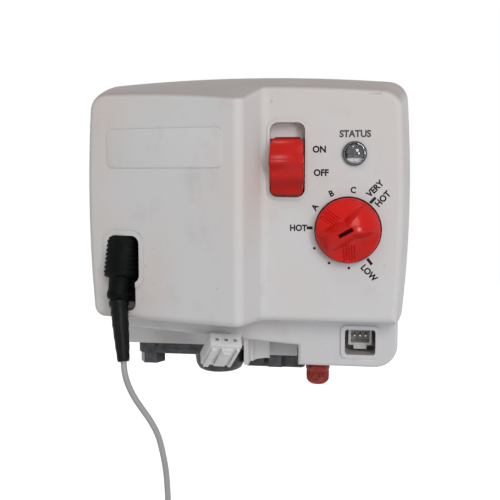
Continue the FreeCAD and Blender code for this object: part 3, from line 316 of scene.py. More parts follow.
def die_cast(name, colour, dark):
    """Die-cast aluminium: dull grey skin with flow marks, darker where it has oxidised."""
    made, tree, shader, place = start(name)
    body = mottled(tree, place, shade(colour), shade(dark), 4, (0.3, 0.75), detail=6.0)
    fill(tree, shader, {"Base Color": body, "Metallic": 1.0,
                        "Roughness": patches(tree, place, 4, (0.3, 0.75), (0.42, 0.58), 6.0),
                        "Normal": grain(tree, place, 1.1, 0.12, 0.45, 4.0)})
    return made


def turned_metal(name, colour, dark, rough, pitch_mm):
    """Turned or drawn metal: bright, with fine rings along its axis and a few stains."""
    made, tree, shader, place = start(name)
    body = mottled(tree, place, shade(colour), shade(dark), 2.5, (0.45, 0.75), (0.0, 0.4), 5.0)
    rings = add(tree, "ShaderNodeTexWave", {
        "Vector": place, "Scale": per(pitch_mm) / (2 * math.pi), "Distortion": 0.6, "Detail": 2.0},
        bands_direction="Y")
    bump = add(tree, "ShaderNodeBump", {"Height": rings, "Distance": 0.02 * MM, "Strength": 0.25})
    fill(tree, shader, {"Base Color": body, "Metallic": 1.0, "Normal": bump,
                        "Roughness": patches(tree, place, 2.5, (0.35, 0.7), (rough, rough + 0.1))})
    return made


def printed_ink(name, colour, thin):
    """Pad-printed ink: dark, a little uneven where the film is thin."""
    made, tree, shader, place = start(name)
    body = mottled(tree, place, shade(colour), shade(thin), 1.3, (0.45, 0.75), (0.0, 0.3), 3.0)
    fill(tree, shader, {"Base Color": body, "Roughness": 0.55, "IOR": 1.5, "Specular IOR Level": 0.2})
    return made


def clear_lens(name, colour):
    """Polished clear polycarbonate, faintly smoked, with soft moulding ripples."""
    made, tree, shader, place = start(name)
    fill(tree, shader, {"Base Color": shade(colour), "IOR": 1.58, "Transmission Weight": 1.0,
                        "Roughness": patches(tree, place, 2, (0.5, 0.8), (0.02, 0.1)),
                        "Normal": grain(tree, place, 1.5, 0.02, 0.2)})
    return made


def moulded_cup(name, reflection_colour, dark, height):
    """Moulded cup behind the lens: dark smoked plastic, painted white below this height as a reflection."""
    made, tree, shader, place = start(name)
    # Painted reflection: the cup is white below this height and dark above, for the bright crescent seen in the
    # lens
    rise = add(tree, "ShaderNodeSeparateXYZ", {"Vector": place}).outputs["Z"]
    share = add(tree, "ShaderNodeMapRange", {
        "Value": rise, "From Min": height - 0.2 * MM, "From Max": height + 0.3 * MM})
    body = add(tree, "ShaderNodeMixRGB", {"Fac": share, "Color1": shade(reflection_colour), "Color2": shade(dark)})
    fill(tree, shader, {"Base Color": body, "IOR": 1.58, "Specular IOR Level": 0.3,
                        "Roughness": patches(tree, place, 1.2, (0.3, 0.7), (0.2, 0.35))})
    return made


def masked_laminate(name, colour, track, aged):
    """Solder-masked glass laminate: green, with paler tracks under the mask."""
    made, tree, shader, place = start(name)
    tracks = add(tree, "ShaderNodeTexBrick", {
        "Vector": place, "Color1": shade(colour), "Color2": shade(colour), "Mortar": shade(track),
        "Scale": per(60), "Mortar Size": 0.006, "Brick Width": 0.35, "Row Height": 0.09})
    body = mottled(tree, place, tracks, shade(aged), 8, (0.4, 0.7), (0.0, 0.3))
    fill(tree, shader, {"Base Color": body, "Roughness": 0.35, "IOR": 1.5})
    return made


def wear(node_name, made):
    """Give a CAD node a finished material."""
    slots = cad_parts[node_name].data.materials
    slots.clear()
    slots.append(made)


def worn_by(node_name):
    """The material that a CAD node has."""
    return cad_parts[node_name].data.materials[0]


# Mesh helpers

# Turn between two faces, in radians, from which their edge counts as a corner
CORNER_TURN = 1.0
# Faces that meet at less than this, in degrees, are shaded as one surface
SMOOTH_BELOW = 38
# Thickens the letters' strokes, as a share of the type size, and narrows the words
BOLDER = 0.04
NARROWER = 0.94


def move(mesh, matrix):
    bmesh.ops.transform(mesh, matrix=matrix, verts=mesh.verts)


def axes(across, up, out):
    """Matrix that turns a shape's own X, Y and Z to these directions."""
    return Matrix((across, up, out)).transposed().to_4x4()


def ripple(place, pitch):
    """Between 0 and 1, with a crest at each whole pitch."""
    return 0.5 + 0.5 * math.cos(2 * math.pi * place / pitch)


def soften(mesh, edges, offset, segments=2):
    """Round edges off."""
    bmesh.ops.bevel(mesh, geom=edges, offset=offset, affect="EDGES", segments=segments, profile=0.5, material=-1)


def pull(mesh, faces, by):
    """Extrude faces by a vector, and give the new points."""
    drawn = bmesh.ops.extrude_face_region(mesh, geom=faces)["geom"]
    points = [part for part in drawn if isinstance(part, bmesh.types.BMVert)]
    bmesh.ops.translate(mesh, vec=by, verts=points)
    return points


def rounded_sheet(width, height, corner):
    """Flat sheet about the origin with rounded corners."""
    mesh = bmesh.new()
    bmesh.ops.create_grid(mesh, x_segments=1, y_segments=1, size=0.5)
    bmesh.ops.scale(mesh, vec=(width, height, 1), verts=mesh.verts)
    bmesh.ops.bevel(mesh, geom=mesh.verts[:], offset=corner, affect="VERTICES", segments=8, profile=0.5,
                    material=-1)
    return mesh


def thicken(mesh, thick, edge):
    """Give a flat sheet its thickness, and soften its front edges."""
    pull(mesh, mesh.faces[:], (0, 0, thick))
    bmesh.ops.recalc_face_normals(mesh, faces=mesh.faces)
    rim = [line for line in mesh.edges if all(point.co.z > thick / 2 for point in line.verts)
           and line.calc_face_angle() > CORNER_TURN]
    soften(mesh, rim, edge, 3)


def spun(profile, steps):
    """Closed shape of a profile, as radius and height in millimetres, turned about Z."""
    mesh = bmesh.new()
    points = [mesh.verts.new((radius * MM, 0, height * MM)) for radius, height in profile]
    edges = [mesh.edges.new(pair) for pair in zip(points, points[1:])]
    bmesh.ops.spin(mesh, geom=points + edges, axis=UP, cent=(0, 0, 0), angle=2 * math.pi, steps=steps,
                   use_merge=True)
    bmesh.ops.remove_doubles(mesh, verts=mesh.verts, dist=0.001 * MM)
    bmesh.ops.recalc_face_normals(mesh, faces=mesh.faces)
    return mesh


def block(mesh, centre, size, edge):
    """Add a box with softened edges, in millimetres."""
    points = bmesh.ops.create_cube(mesh, size=1)["verts"]
    bmesh.ops.scale(mesh, vec=Vector(size) * MM, verts=points)
    bmesh.ops.translate(mesh, vec=Vector(centre) * MM, verts=points)
    soften(mesh, list({line for point in points for line in point.link_edges}), edge * MM)


def blocks(*boxes):
    """A new shape of such boxes."""
    mesh = bmesh.new()
    for box in boxes:
        block(mesh, *box)
    return mesh


def make_piece(name, mesh, made, body=HOUSING, smooth=True):
    """Turn a finished bmesh into a piece that rides on a body, or on none."""
    data = bpy.data.meshes.new(name)
    for face in mesh.faces:
        face.smooth = smooth
    mesh.to_mesh(data)
    mesh.free()
    if smooth:
        data.set_sharp_from_angle(angle=math.radians(SMOOTH_BELOW))
    data.materials.append(made)
    piece = bpy.data.objects.new(name, data)
    bpy.context.scene.collection.objects.link(piece)
    if body:
        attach(piece, body)
    return piece


def letters(text, film):
    """Mesh of a word lying in its own plane."""
    curve = bpy.data.curves.new("word", "FONT")
    curve.body = text
    curve.extrude = film / 2
    curve.offset = BOLDER
    curve.resolution_u = 4
    carrier = bpy.data.objects.new("word", curve)
    mesh = bpy.data.meshes.new_from_object(carrier)
    bpy.data.objects.remove(carrier)
    bpy.data.curves.remove(curve)
    return mesh


def extent(mesh):
    """Low and high corner of a mesh."""
    places = [point.co for point in mesh.vertices]
    return [Vector([pick(place[i] for place in places) for i in range(3)]) for pick in (min, max)]


def print_word(mesh, text, height, film, centre, turn):
    """Add a word to the printing, centred on a panel point and turned anticlockwise."""
    capital = letters("H", film)
    low, high = extent(capital)
    size = height / (high.y - low.y)
    bpy.data.meshes.remove(capital)
    word = letters(text, film)
    low, high = extent(word)
    word.transform(Matrix.Translation((-(low.x + high.x) / 2, -(low.y + high.y) / 2, 0)))
    word.transform(Matrix.Diagonal((size * NARROWER, size, 1, 1)))
    word.transform(FACING_FRONT @ Matrix.Rotation(turn, 4, "Z"))
    word.transform(Matrix.Translation(centre))
    mesh.from_mesh(word)
    bpy.data.meshes.remove(word)


# Places on the object, from the CAD nodes


def panel_depth():
    """Depth of the control panel, which the lamp's bezel sits on."""
    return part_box("lens_bezel")[1].y


def middle_of(node_name):
    low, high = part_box(node_name)
    return (low + high) / 2


def panel_seat(node_name, proud_mm=0.0):
    """Matrix of the place where a node's middle meets the panel, or is this far in front of it."""
    heart = middle_of(node_name)
    return Matrix.Translation((heart.x, panel_depth() - proud_mm * MM, heart.z))


def on_panel(x_mm, z_mm):
    """A point on the panel's face, at the middle of the ink film."""
    film = bpy.context.scene.valve_print.film
    return Vector((x_mm * MM, panel_depth() - film / 2, z_mm * MM))


def on_dial(radius_mm, turn):
    """Such a point at a radius and an angle from the knob's axis."""
    axis = middle_of("temperature_knob") / MM
    return on_panel(axis.x + radius_mm * math.cos(turn), axis.z + radius_mm * math.sin(turn))


# Lip raised about the switch: width, height, corner, breadth and thickness, in millimetres
LIP_SIZE = (17.0, 33.4, 4.1, 1.0, 0.6)
# How much of the lip's thickness its rounding takes, and how far it is sunk into the panel, in millimetres
LIP_ROUNDING = 0.4
LIP_SUNK = 0.05


class VALVE_OT_mouldings(bpy.types.Operator):
    """Finish the white mouldings of the housing and make the lip about the switch"""

    bl_idname = "valve.mouldings"
    bl_label = "Mouldings"

    def execute(self, context):
        finish = context.scene.valve_finish
        wear("front_cover", moulded_abs("ABS moulded cover", finish.cover, "#CFC6C2", "#B4AAA7"))
        wear("base_housing", moulded_abs("ABS moulded base", finish.base, "#CDCBCA", "#ABA7A6"))
        # Painted light: the switch frame is paler than the cover, standing in for the light in the window above the
        # cap
        wear("switch_frame", moulded_abs("ABS moulded switch frame", linear("#E6DFDD"), "#E0D6D4", "#C6BCBA"))
        width, height, corner, breadth, thick = (size * MM for size in LIP_SIZE)
        mesh = rounded_sheet(width, height, corner)
        opening = mesh.faces[:]
        bmesh.ops.inset_region(mesh, faces=opening, thickness=breadth, use_boundary=True, use_even_offset=True)
        bmesh.ops.delete(mesh, geom=opening, context="FACES")
        thicken(mesh, thick, LIP_ROUNDING * thick)
        move(mesh, panel_seat("switch_frame", -LIP_SUNK) @ FACING_FRONT)
        # Painted light: the lip is paler than the cover, standing in for the light catching its rounded edge
        make_piece("switch_lip", mesh, moulded_abs("ABS moulded lip", linear("#E2E0E0"), "#DCD8D6", "#C4BFBD"))
        return {"FINISHED"}


# Knob, in millimetres and degrees, with its pointer's angle at rest
KNOB_RADIUS = 13.6
KNOB_HEIGHT = 11.5
KNOB_SKIRT = 3.0
KNOB_GAP = 0.5
KNOB_STEPS = 240
DOME_RADIUS = 15.5
POINTER = 209.6
# Half the ridge's width at the axis, how it grows towards the pointer, and how it flares behind its waist
RIDGE_HALF = 1.7
RIDGE_TAPER = 0.13
RIDGE_WAIST = -1.0
RIDGE_FLARE = 0.42
# Hollows beside it: their floor over the skirt, its rise inwards, their wall's slope and how the two blend
HOLLOW_FLOOR = 1.2
HOLLOW_RISE = 0.2
HOLLOW_SLOPE = 1.5
HOLLOW_BLEND = 1.6
# Grooves in the hollows: their lean, where they begin and end, and how many pitches they spread each way
GROOVE_LEAN = 64.0
GROOVE_REACH = (5.6, 12.6)
GROOVE_PITCH = 1.1
GROOVE_SPREAD = 2.5
GROOVE_DEPTH = 0.45
SLOT_REACH = (-2.4, 4.0)
SLOT_HALF_WIDTH = 0.75
SLOT_DEPTH = 2.8
# Dark block at the bottom of the slot, a painted shadow: its middle, its size and its edge
SLOT_SHADOW_BLOCK = ((0.8, 0.0, 8.7), (6.2, 1.4, 0.4), 0.1)
# Rings over the face for the grip's shape, then the skirt and the back
KNOB_PROFILE = [(0.27 * ring, KNOB_HEIGHT) for ring in range(49)] + [
    (13.3, KNOB_SKIRT + 0.3), (KNOB_RADIUS, KNOB_SKIRT), (KNOB_RADIUS, 0.0), (0.0, 0.0)]
# Dark ring on the panel round the knob, a painted shadow of the gap under it
SHADOW_RING_PROFILE = [(12.6, 0.0), (14.15, 0.0), (14.2, 0.2), (14.05, 0.38), (12.6, 0.4), (12.6, 0.0)]
# Side of the switch cap, as depth and height in millimetres: a swelling face over a crest, and a thumb hollow
SWITCH_SIDE = [(-92.0, 36.2), (-95.6, 36.2), (-96.8, 36.0), (-97.8, 35.5), (-98.5, 34.8), (-99.1, 33.8),
               (-99.8, 32.0), (-100.5, 29.8), (-101.4, 27.8), (-102.3, 26.5), (-102.8, 25.9), (-103.0, 25.4),
               (-102.8, 24.9), (-102.2, 24.3), (-100.9, 23.2), (-99.5, 21.6), (-98.5, 19.6), (-98.0, 17.4),
               (-98.0, 15.4), (-98.2, 13.7), (-98.3, 12.7), (-98.0, 12.0), (-97.5, 11.4), (-96.6, 11.1),
               (-92.0, 11.1)]
SWITCH_HALF_WIDTH = 7.3
SWITCH_EDGE = 0.8
# Radius of the cap's corners and the share of it that they are drawn in by
SWITCH_CORNER = 3.3
SWITCH_DRAWN = 0.8
# Depth of the panel's back, behind which the cap's edges stay sharp
SWITCH_HELD = -93.0
# Flange that holds the cap behind the panel and stem that pushes the lever: middle, size and edge
SWITCH_FLANGE = ((18.0, -91.75, 22.7), (17.0, 1.5, 25.8), 0.2)
SWITCH_STEM = ((18.0, -88.3, 24.2), (4.8, 7.4, 8.0), 0.2)
# How far before the panel the painted shade is darkest, in millimetres, and the hairlines' lean, in degrees
KNOB_SHADE_DEPTH = 0.4
KNOB_HAIRLINES = 30
SWITCH_SHADE_DEPTH = 2.2
SWITCH_HAIRLINES = 90


class VALVE_OT_controls(bpy.types.Operator):
    """Make the red knob with a dark ring of painted shadow round it, and the switch cap"""

    bl_idname = "valve.controls"
    bl_label = "Controls"

    def execute(self, context):
        self.knob()
        self.switch()
        return {"FINISHED"}

    def red(self, name, hairlines, grime_and_shade):
        colour = bpy.context.scene.valve_finish.control
        # The red's painted shade is darkest at this depth before the panel
        return polished_abs(name, colour, math.radians(hairlines), panel_depth() - grime_and_shade * MM)

    def knob(self):
        mesh = spun(KNOB_PROFILE, KNOB_STEPS)
        for point in mesh.verts:
            if point.co.z > KNOB_SKIRT * MM:
                point.co.z = self.grip(point.co.x / MM, point.co.y / MM) * MM
        turn = math.radians(POINTER)
        pointing, front = Vector((math.cos(turn), 0, math.sin(turn))), Vector((0, -1, 0))
        seat = panel_seat("temperature_knob", KNOB_GAP) @ axes(pointing, front.cross(pointing), front)
        move(mesh, seat)
        knob = make_piece("grip_knob", mesh, self.red("ABS polished knob", KNOB_HAIRLINES, KNOB_SHADE_DEPTH),
                          "knob")
        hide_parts("temperature_knob")
        # Painted shadow: a near-black block at the bottom of the slot
        mesh = blocks(SLOT_SHADOW_BLOCK)
        move(mesh, seat)
        make_piece("slot_floor", mesh, moulded_rubber("ABS grimed slot", "#2A0705", "#43110D"),
                   "knob")
        # Painted shadow: a near-black ring on the panel round the knob
        mesh = spun(SHADOW_RING_PROFILE, 96)
        move(mesh, panel_seat("temperature_knob") @ FACING_FRONT)
        make_piece("knob_seal", mesh, moulded_rubber("Rubber moulded seal", "#2A0C0A", "#4A1A16"))

    def grip(self, x, y):
        """Height of the knob's face at a place, with the pointer along X."""
        dome = KNOB_HEIGHT - DOME_RADIUS + math.sqrt(DOME_RADIUS ** 2 - x * x - y * y)
        ridge = RIDGE_HALF + RIDGE_TAPER * max(x, RIDGE_WAIST) + RIDGE_FLARE * max(RIDGE_WAIST - x, 0)
        into = abs(y) - ridge
        height = dome
        if into > 0:
            floor = KNOB_SKIRT + HOLLOW_FLOOR + HOLLOW_RISE * (KNOB_RADIUS - math.hypot(x, y))
            wall = dome - HOLLOW_SLOPE * into
            # Wall and floor run into each other
            blend = math.hypot(wall - floor, HOLLOW_BLEND)
            height = min(dome, (wall + floor + blend) / 2)
        lean = math.radians(GROOVE_LEAN)
        along = x * math.cos(lean) + abs(y) * math.sin(lean)
        across = abs(y) * math.cos(lean) - x * math.sin(lean)
        if GROOVE_REACH[0] < along < GROOVE_REACH[1] and abs(across) < GROOVE_SPREAD * GROOVE_PITCH:
            height -= GROOVE_DEPTH * ripple(across, GROOVE_PITCH) ** 2
        if SLOT_REACH[0] < x < SLOT_REACH[1] and abs(y) < SLOT_HALF_WIDTH:
            height -= SLOT_DEPTH
        return height

    def switch(self):
        mesh = bmesh.new()
        side = [mesh.verts.new((-SWITCH_HALF_WIDTH * MM, y * MM, z * MM)) for y, z in SWITCH_SIDE]
        pull(mesh, [mesh.faces.new(side)], (2 * SWITCH_HALF_WIDTH * MM, 0, 0))
        # The ends are drawn in to round the cap's four corners
        top, foot = SWITCH_SIDE[0][1], SWITCH_SIDE[-1][1]
        for point in mesh.verts:
            short = max(0.0, SWITCH_CORNER - min(top - point.co.z / MM, point.co.z / MM - foot))
            drawn = SWITCH_CORNER - math.sqrt(max(0.0, SWITCH_CORNER ** 2 - short ** 2))
            point.co.x -= math.copysign(SWITCH_DRAWN * drawn * MM, point.co.x)
        bmesh.ops.translate(mesh, vec=(middle_of("power_slider").x, 0, 0), verts=mesh.verts)
        bmesh.ops.recalc_face_normals(mesh, faces=mesh.faces)
        outline = [line for line in mesh.edges
                   if abs(line.verts[0].co.x - line.verts[1].co.x) < SWITCH_HALF_WIDTH * MM
                   and min(point.co.y for point in line.verts) < SWITCH_HELD * MM]
        soften(mesh, outline, SWITCH_EDGE * MM, 3)
        block(mesh, *SWITCH_FLANGE)
        block(mesh, *SWITCH_STEM)
        cap = make_piece("switch_cap", mesh, self.red("ABS polished switch cap", SWITCH_HAIRLINES, SWITCH_SHADE_DEPTH),
                         "slider")
        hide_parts("power_slider")


# Reflector behind the lamp's lens, from its middle over its rim to its middle behind
CUP_PROFILE = [(0.0, -0.9), (1.1, -1.1), (1.55, -1.7), (1.6, -2.6), (2.6, -2.5), (3.3, -1.8), (3.75, -0.65),
               (4.0, -0.65), (3.7, -2.2), (2.8, -3.0), (0.0, -3.1)]
# Thin dome over it, from the middle outside to the middle inside
DOME_PROFILE = [(0.0, 2.7), (0.8, 2.64), (1.6, 2.47), (2.4, 2.18), (3.2, 1.74), (3.8, 1.28), (4.2, 0.8),
                (4.38, 0.3), (4.38, -0.6), (3.8, -0.6), (3.75, 0.35), (3.0, 1.1), (2.0, 1.65), (1.0, 1.92),
                (0.0, 2.0)]
# Share of the dome's radius, below its middle, where the cup's painted reflection begins
REFLECTION_FROM = 0.45


class VALVE_OT_lamp(bpy.types.Operator):
    """Finish the status lamp and set a reflector cup behind its lens, with a painted reflection on its lower part
    """

    bl_idname = "valve.lamp"
    bl_label = "Status lamp"

    def execute(self, context):
        wear("status_led", clear_lens("Epoxy clear lamp", "#D8DADC"))
        wear("lens_bezel", moulded_rubber("ABS moulded bezel", "#4A4C50", "#6A6C70"))
        low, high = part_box("status_lens")
        # Painted reflection: height below which the cup is white
        reflection_below = (low.z + high.z) / 2 - REFLECTION_FROM * (high.x - low.x) / 2
        for name, profile, made in (
                ("lens_dome", DOME_PROFILE, clear_lens("Polycarbonate moulded lens", "#F2F4F6")),
                ("lamp_cup", CUP_PROFILE,
                 moulded_cup("Polycarbonate moulded cup", "#FAFBFC", "#1E2024", reflection_below))):
            mesh = spun(profile, 64)
            move(mesh, panel_seat("status_lens") @ FACING_FRONT)
            make_piece(name, mesh, made)
        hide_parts("status_lens")
        return {"FINISHED"}


WORDS = [
    # Word, place on the panel in millimetres, turn in degrees, share of the letter height
    ("ON", 31.4, 31.0, 0, 1.0),
    ("OFF", 32.3, 21.2, 0, 1.0),
    ("STATUS", 46.3, 37.4, 0, 1.04),
    ("HOT", 22.9, -2.2, 0, 0.96),
    ("VERY", 54.8, 14.6, 45, 0.97),
    ("HOT", 58.1, 10.4, 47, 0.97),
    ("LOW", 53.0, -21.1, -46, 0.97),
]
# Words in the paler ink
PALE_WORDS = ["STATUS"]
# Letters and dots of the dial with their angles, in degrees
LETTERS = [("A", 145.8), ("B", 114.8), ("C", 83.2)]
LETTER_RADIUS = 17.0
LETTER_SHARE = 0.93
DOTS = [-150.6, -118.8, -88.0]
DOT_RADIUS = 0.58
# Angle from the knob, length and turn of each bar
BARS = [(177.4, 2.5, 0), (51.0, 3.3, 46), (-55.3, 3.2, -53)]
BAR_WIDTH = 1.25


class VALVE_OT_printing(bpy.types.Operator):
    """Print the words and the dial on the control panel"""

    bl_idname = "valve.printing"
    bl_label = "Panel printing"

    def execute(self, context):
        sizes = context.scene.valve_print
        ink = printed_ink("Pad-printed ink dark", "#0C0C0D", "#2C2C2E")
        pale = printed_ink("Pad-printed ink grey", "#46474C", "#66676C")
        for name, made, is_pale in (("printed_status", pale, True), ("printed_words", ink, False)):
            mesh = bmesh.new()
            for text, x, z, turn, share in WORDS:
                if (text in PALE_WORDS) == is_pale:
                    print_word(mesh, text, sizes.cap_height * share, sizes.film, on_panel(x, z),
                               math.radians(turn))
            make_piece(name, mesh, made, smooth=False)
        mesh = bmesh.new()
        for text, angle in LETTERS:
            turn = math.radians(angle)
            print_word(mesh, text, sizes.cap_height * LETTER_SHARE, sizes.film, on_dial(LETTER_RADIUS, turn),
                       turn - math.pi / 2)
        for angle in DOTS:
            dot = bmesh.ops.create_circle(mesh, cap_ends=True, segments=24, radius=DOT_RADIUS * MM)["verts"]
            self.mark(mesh, dot, sizes, angle, 0)
        for angle, length, lean in BARS:
            bar = bmesh.ops.create_grid(mesh, x_segments=1, y_segments=1, size=0.5)["verts"]
            bmesh.ops.scale(mesh, vec=(length * MM, BAR_WIDTH * MM, 1), verts=bar)
            self.mark(mesh, bar, sizes, angle, lean)
        make_piece("printed_dial", mesh, ink, smooth=False)
        return {"FINISHED"}

    def mark(self, mesh, points, sizes, angle, lean):
        """Put a flat mark on the dial, at the front of the ink film."""
        place = on_dial(sizes.dial_radius / MM, math.radians(angle))
        place.y -= sizes.film / 2
        bmesh.ops.transform(mesh, verts=points, matrix=(
            Matrix.Translation(place) @ FACING_FRONT @ Matrix.Rotation(math.radians(lean), 4, "Z")))


# Wedge face seen from above: a point on it and its direction to the right, in millimetres
WEDGE_POINT = (-33.9, -103.73)
WEDGE_ALONG = (70.5, -19.0)
PLATE_Z = 31.5
# How much of the height that shows the plate's rounding takes
PLATE_ROUNDING = 0.7


class VALVE_OT_plate(bpy.types.Operator):
    """Raise the bare plate on the wedge"""

    bl_idname = "valve.plate"
    bl_label = "Bare plate"

    def execute(self, context):
        sizes = context.scene.valve_print
        proud = sizes.plate_proud
        along = Vector((*WEDGE_ALONG, 0)).normalized()
        outward = along.cross(UP).normalized()
        mesh = rounded_sheet(sizes.plate_width, sizes.plate_height, sizes.plate_corner)
        # Half of the plate is sunk into the wedge
        thicken(mesh, 2 * proud, PLATE_ROUNDING * proud)
        sunk = Vector((*WEDGE_POINT, PLATE_Z)) * MM - outward * proud
        move(mesh, Matrix.Translation(sunk) @ axes(along, UP, outward))
        make_piece("bare_plate", mesh, worn_by("front_cover"))
        return {"FINISHED"}


# Boot, from its open top down, in millimetres: where it sits, its lean in degrees, the length of its oval body
# and its profile with the neck
BOOT_TOP = (-53.2, -94.06, -7.6)
BOOT_LEAN = 15.0
BOOT_BODY = 17.5
BOOT_OVAL = 1.08
BOOT_PROFILE = [(0.0, -2.6), (4.7, -2.6), (5.1, -0.4), (5.7, 0.1), (6.2, -0.2)] + [
    (6.3, -0.5 - 0.25 * ring) for ring in range(66)] + [
    (6.2, -17.2), (5.6, -17.6), (4.8, -17.9), (4.7, -18.6), (4.65, -21.5), (4.55, -23.0), (4.85, -24.0),
    (5.0, -25.0), (4.8, -26.2), (4.2, -27.0), (3.5, -27.4), (0.0, -27.4)]
# Its ribs: pitch, height as a share of the radius, the radius from which a point is on the ribbed wall, and how
# far to the side, from 0 to 1, they begin and take to rise
BOOT_PITCH = 1.9
BOOT_RIB = 0.1
BOOT_WALL = 6.25
BOOT_RIBS_FROM = 0.55
BOOT_RIBS_RISE = 0.25
# How far left it is set, and how much further for each millimetre down
BOOT_SHIFT = 0.9
BOOT_SLANT = 0.05
# Sleeve under the boot, shrunk over a crimp ring at its top, with soft wrinkles down to the lead
SLEEVE_TOP = (-55.6, -99.6, -33.9)
SLEEVE_PROFILE = [(0.0, 0.6), (3.6, 0.6), (3.7, -0.3), (4.25, -0.8), (4.4, -1.9), (4.25, -3.0), (3.8, -3.6),
                  (3.75, -5.0), (4.0, -6.4), (3.65, -7.4), (3.6, -9.5), (3.7, -11.5), (3.4, -13.5),
                  (3.4, -16.5), (3.15, -18.5), (3.1, -21.5), (2.8, -23.5), (2.75, -26.0), (2.6, -27.0),
                  (2.3, -27.5), (1.4, -27.5), (1.3, -26.5), (0.0, -26.5)]


class VALVE_OT_igniter(bpy.types.Operator):
    """Make the ribbed igniter boot and the sleeve under it"""

    bl_idname = "valve.igniter"
    bl_label = "Igniter boot"

    def execute(self, context):
        mesh = spun(BOOT_PROFILE, 96)
        for point in mesh.verts:
            down, out = -point.co.z / MM, math.hypot(point.co.x, point.co.y)
            if down < BOOT_BODY:
                # Grip ribs stand out on the two sides of an oval body
                side = 0.0
                if out > BOOT_WALL * MM:
                    side = min(max((abs(point.co.x) / out - BOOT_RIBS_FROM) / BOOT_RIBS_RISE, 0.0), 1.0)
                swell = 1 + BOOT_RIB * side * ripple(down, BOOT_PITCH)
                point.co.x *= BOOT_OVAL * swell
                point.co.y *= swell
            point.co.x -= (BOOT_SHIFT + BOOT_SLANT * down) * MM
        lean = Matrix.Rotation(math.radians(-BOOT_LEAN), 4, "X")
        move(mesh, Matrix.Translation(Vector(BOOT_TOP) * MM) @ lean)
        rubber = moulded_rubber("Silicone rubber moulded boot", "#060707", "#151716")
        boot = make_piece("ribbed_boot", mesh, rubber)
        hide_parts("igniter_boot")
        mesh = spun(SLEEVE_PROFILE, 48)
        top, end = Vector(SLEEVE_TOP) * MM, Vector(LEAD_START) * MM
        lean = (-UP).rotation_difference(end - top).to_matrix().to_4x4()
        move(mesh, Matrix.Translation(top) @ lean)
        tube = shrunk_tube("Polyolefin heat-shrunk sleeve", "#0B0C0C", "#202222")
        sleeve = make_piece("shrunk_sleeve", mesh, tube)
        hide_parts("boot_sleeve")
        return {"FINISHED"}


# Route of the lead's hanging run, in millimetres, from the sleeve's end to the coil
LEAD_START = (-51.1, -107.98, -59.76)
LEAD_ROUTE = [(-50.6, -109.4, -63.0), (-48.9, -110.6, -68.4), (-46.0, -110.9, -74.2), (-42.4, -110.9, -79.4),
              (-38.6, -110.8, -84.6), (-35.4, -110.4, -91.0), (-33.8, -109.7, -98.8), (-32.6, -109.0, -107.0),
              (-32.2, -108.4, -116.0), (-32.1, -108.0, -125.5), (-32.0, -107.9, -135.0)]
COIL_CENTRE = (-17.7, -102.4, -142.96)
COIL_START = math.pi
POINTS_PER_TURN = 16


class VALVE_OT_lead(bpy.types.Operator):
    """Hang the igniter lead and wind its spare length"""

    bl_idname = "valve.lead"
    bl_label = "Igniter lead"

    def execute(self, context):
        sizes = context.scene.valve_lead
        points = [Vector(p) * MM for p in [LEAD_START] + LEAD_ROUTE]
        centre = Vector(COIL_CENTRE) * MM
        steps = round(sizes.coil_turns * POINTS_PER_TURN)
        # A spline of order 3 cuts inside its points, so they stand a little further out
        reach = sizes.coil_radius / math.cos(math.pi / POINTS_PER_TURN)
        for step in range(steps + 1):
            turn = step / POINTS_PER_TURN
            angle = COIL_START + turn * 2 * math.pi
            depth = (turn - sizes.coil_turns / 2) * sizes.diameter
            points.append(centre + Vector((reach * math.cos(angle), depth, reach * math.sin(angle))))
        points.append(points[-1] + Vector((sizes.tail, 0, 0)))
        curve = bpy.data.curves.new("igniter_lead", "CURVE")
        curve.dimensions = "3D"
        curve.bevel_depth = sizes.diameter / 2
        curve.bevel_resolution = 5
        curve.resolution_u = 8
        curve.use_fill_caps = True
        spline = curve.splines.new("NURBS")
        spline.points.add(len(points) - 1)
        for place, point in zip(spline.points, points):
            place.co = (*point, 1.0)
        spline.order_u = 3
        spline.use_endpoint_u = True
        curve.materials.append(lead_jacket("Silicone extruded jacket", context.scene.valve_finish.lead))
        lead = bpy.data.objects.new("igniter_lead", curve)
        context.scene.collection.objects.link(lead)
        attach(lead, HOUSING)
        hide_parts("ignition_lead", "lead_coil")
        wear("lead_terminal", turned_metal("Steel crimp plated", "#B9BABC", "#7C7C7E", 0.25, 0.5))
        wear("lead_tie", moulded_nylon("Nylon moulded tie", "#D9D7D0", "#B9B7B0"))
        return {"FINISHED"}


# Plug as it sits in its notch: middle of its end with the three ways, its long axis out of that end and the way
# its width runs, then its width, thickness and length, all in millimetres
PLUG_END = (-8.33, -96.32, -51.45)
PLUG_LONG = (3.8, -6.8, 6.3)
PLUG_ACROSS = (9.0, 4.1, -1.3)
PLUG_SIZE = (14.2, 6.2, 19.0)
PLUG_EDGE = 0.4
# Columns and rows of its end, the columns of the middle row that are ways, and how a way narrows and how deep it is
PLUG_GRID = (7, 3)
WAY_COLUMNS = (-2, 0, 2)
WAY_NARROWING = (0.8, 0.62, 1)
WAY_DEPTH = 2.2
# Latch and guide ribs on its front: middle across, middle from the end, width, length, height
PLUG_RIBS = [(0.9, 9.6, 5.2, 15.4, 1.4), (0.9, 4.2, 3.6, 1.8, 2.2), (-5.0, 10.2, 2.4, 16.6, 1.4),
             (5.9, 10.2, 1.5, 16.6, 1.0)]
RIB_SUNK = 0.6
RIB_EDGE = 0.25
# Neck behind the plug that joins it to the lip of the notch: middle, size and edge, along the plug's own axes
PLUG_NECK = ((0.0, 6.0, -12.0), (6.0, 6.8, 5.0), 0.25)
# Lip above the notch, wall behind its open part and floor of the socket: middle, size and edge
NOTCH_LIP = ((-9.2, -81.9, -50.7), (13.0, 2.2, 4.2), 0.4)
NOTCH_WALL = ((9.0, -60.0, -62.0), (22.0, 1.6, 8.4), 0.4)
SOCKET_FLOOR = ((49.6, -80.2, -61.0), (13.2, 5.8, 2.6), 0.2)
# How near to the plug's faces a point counts as on them
ON_FACE = 0.1


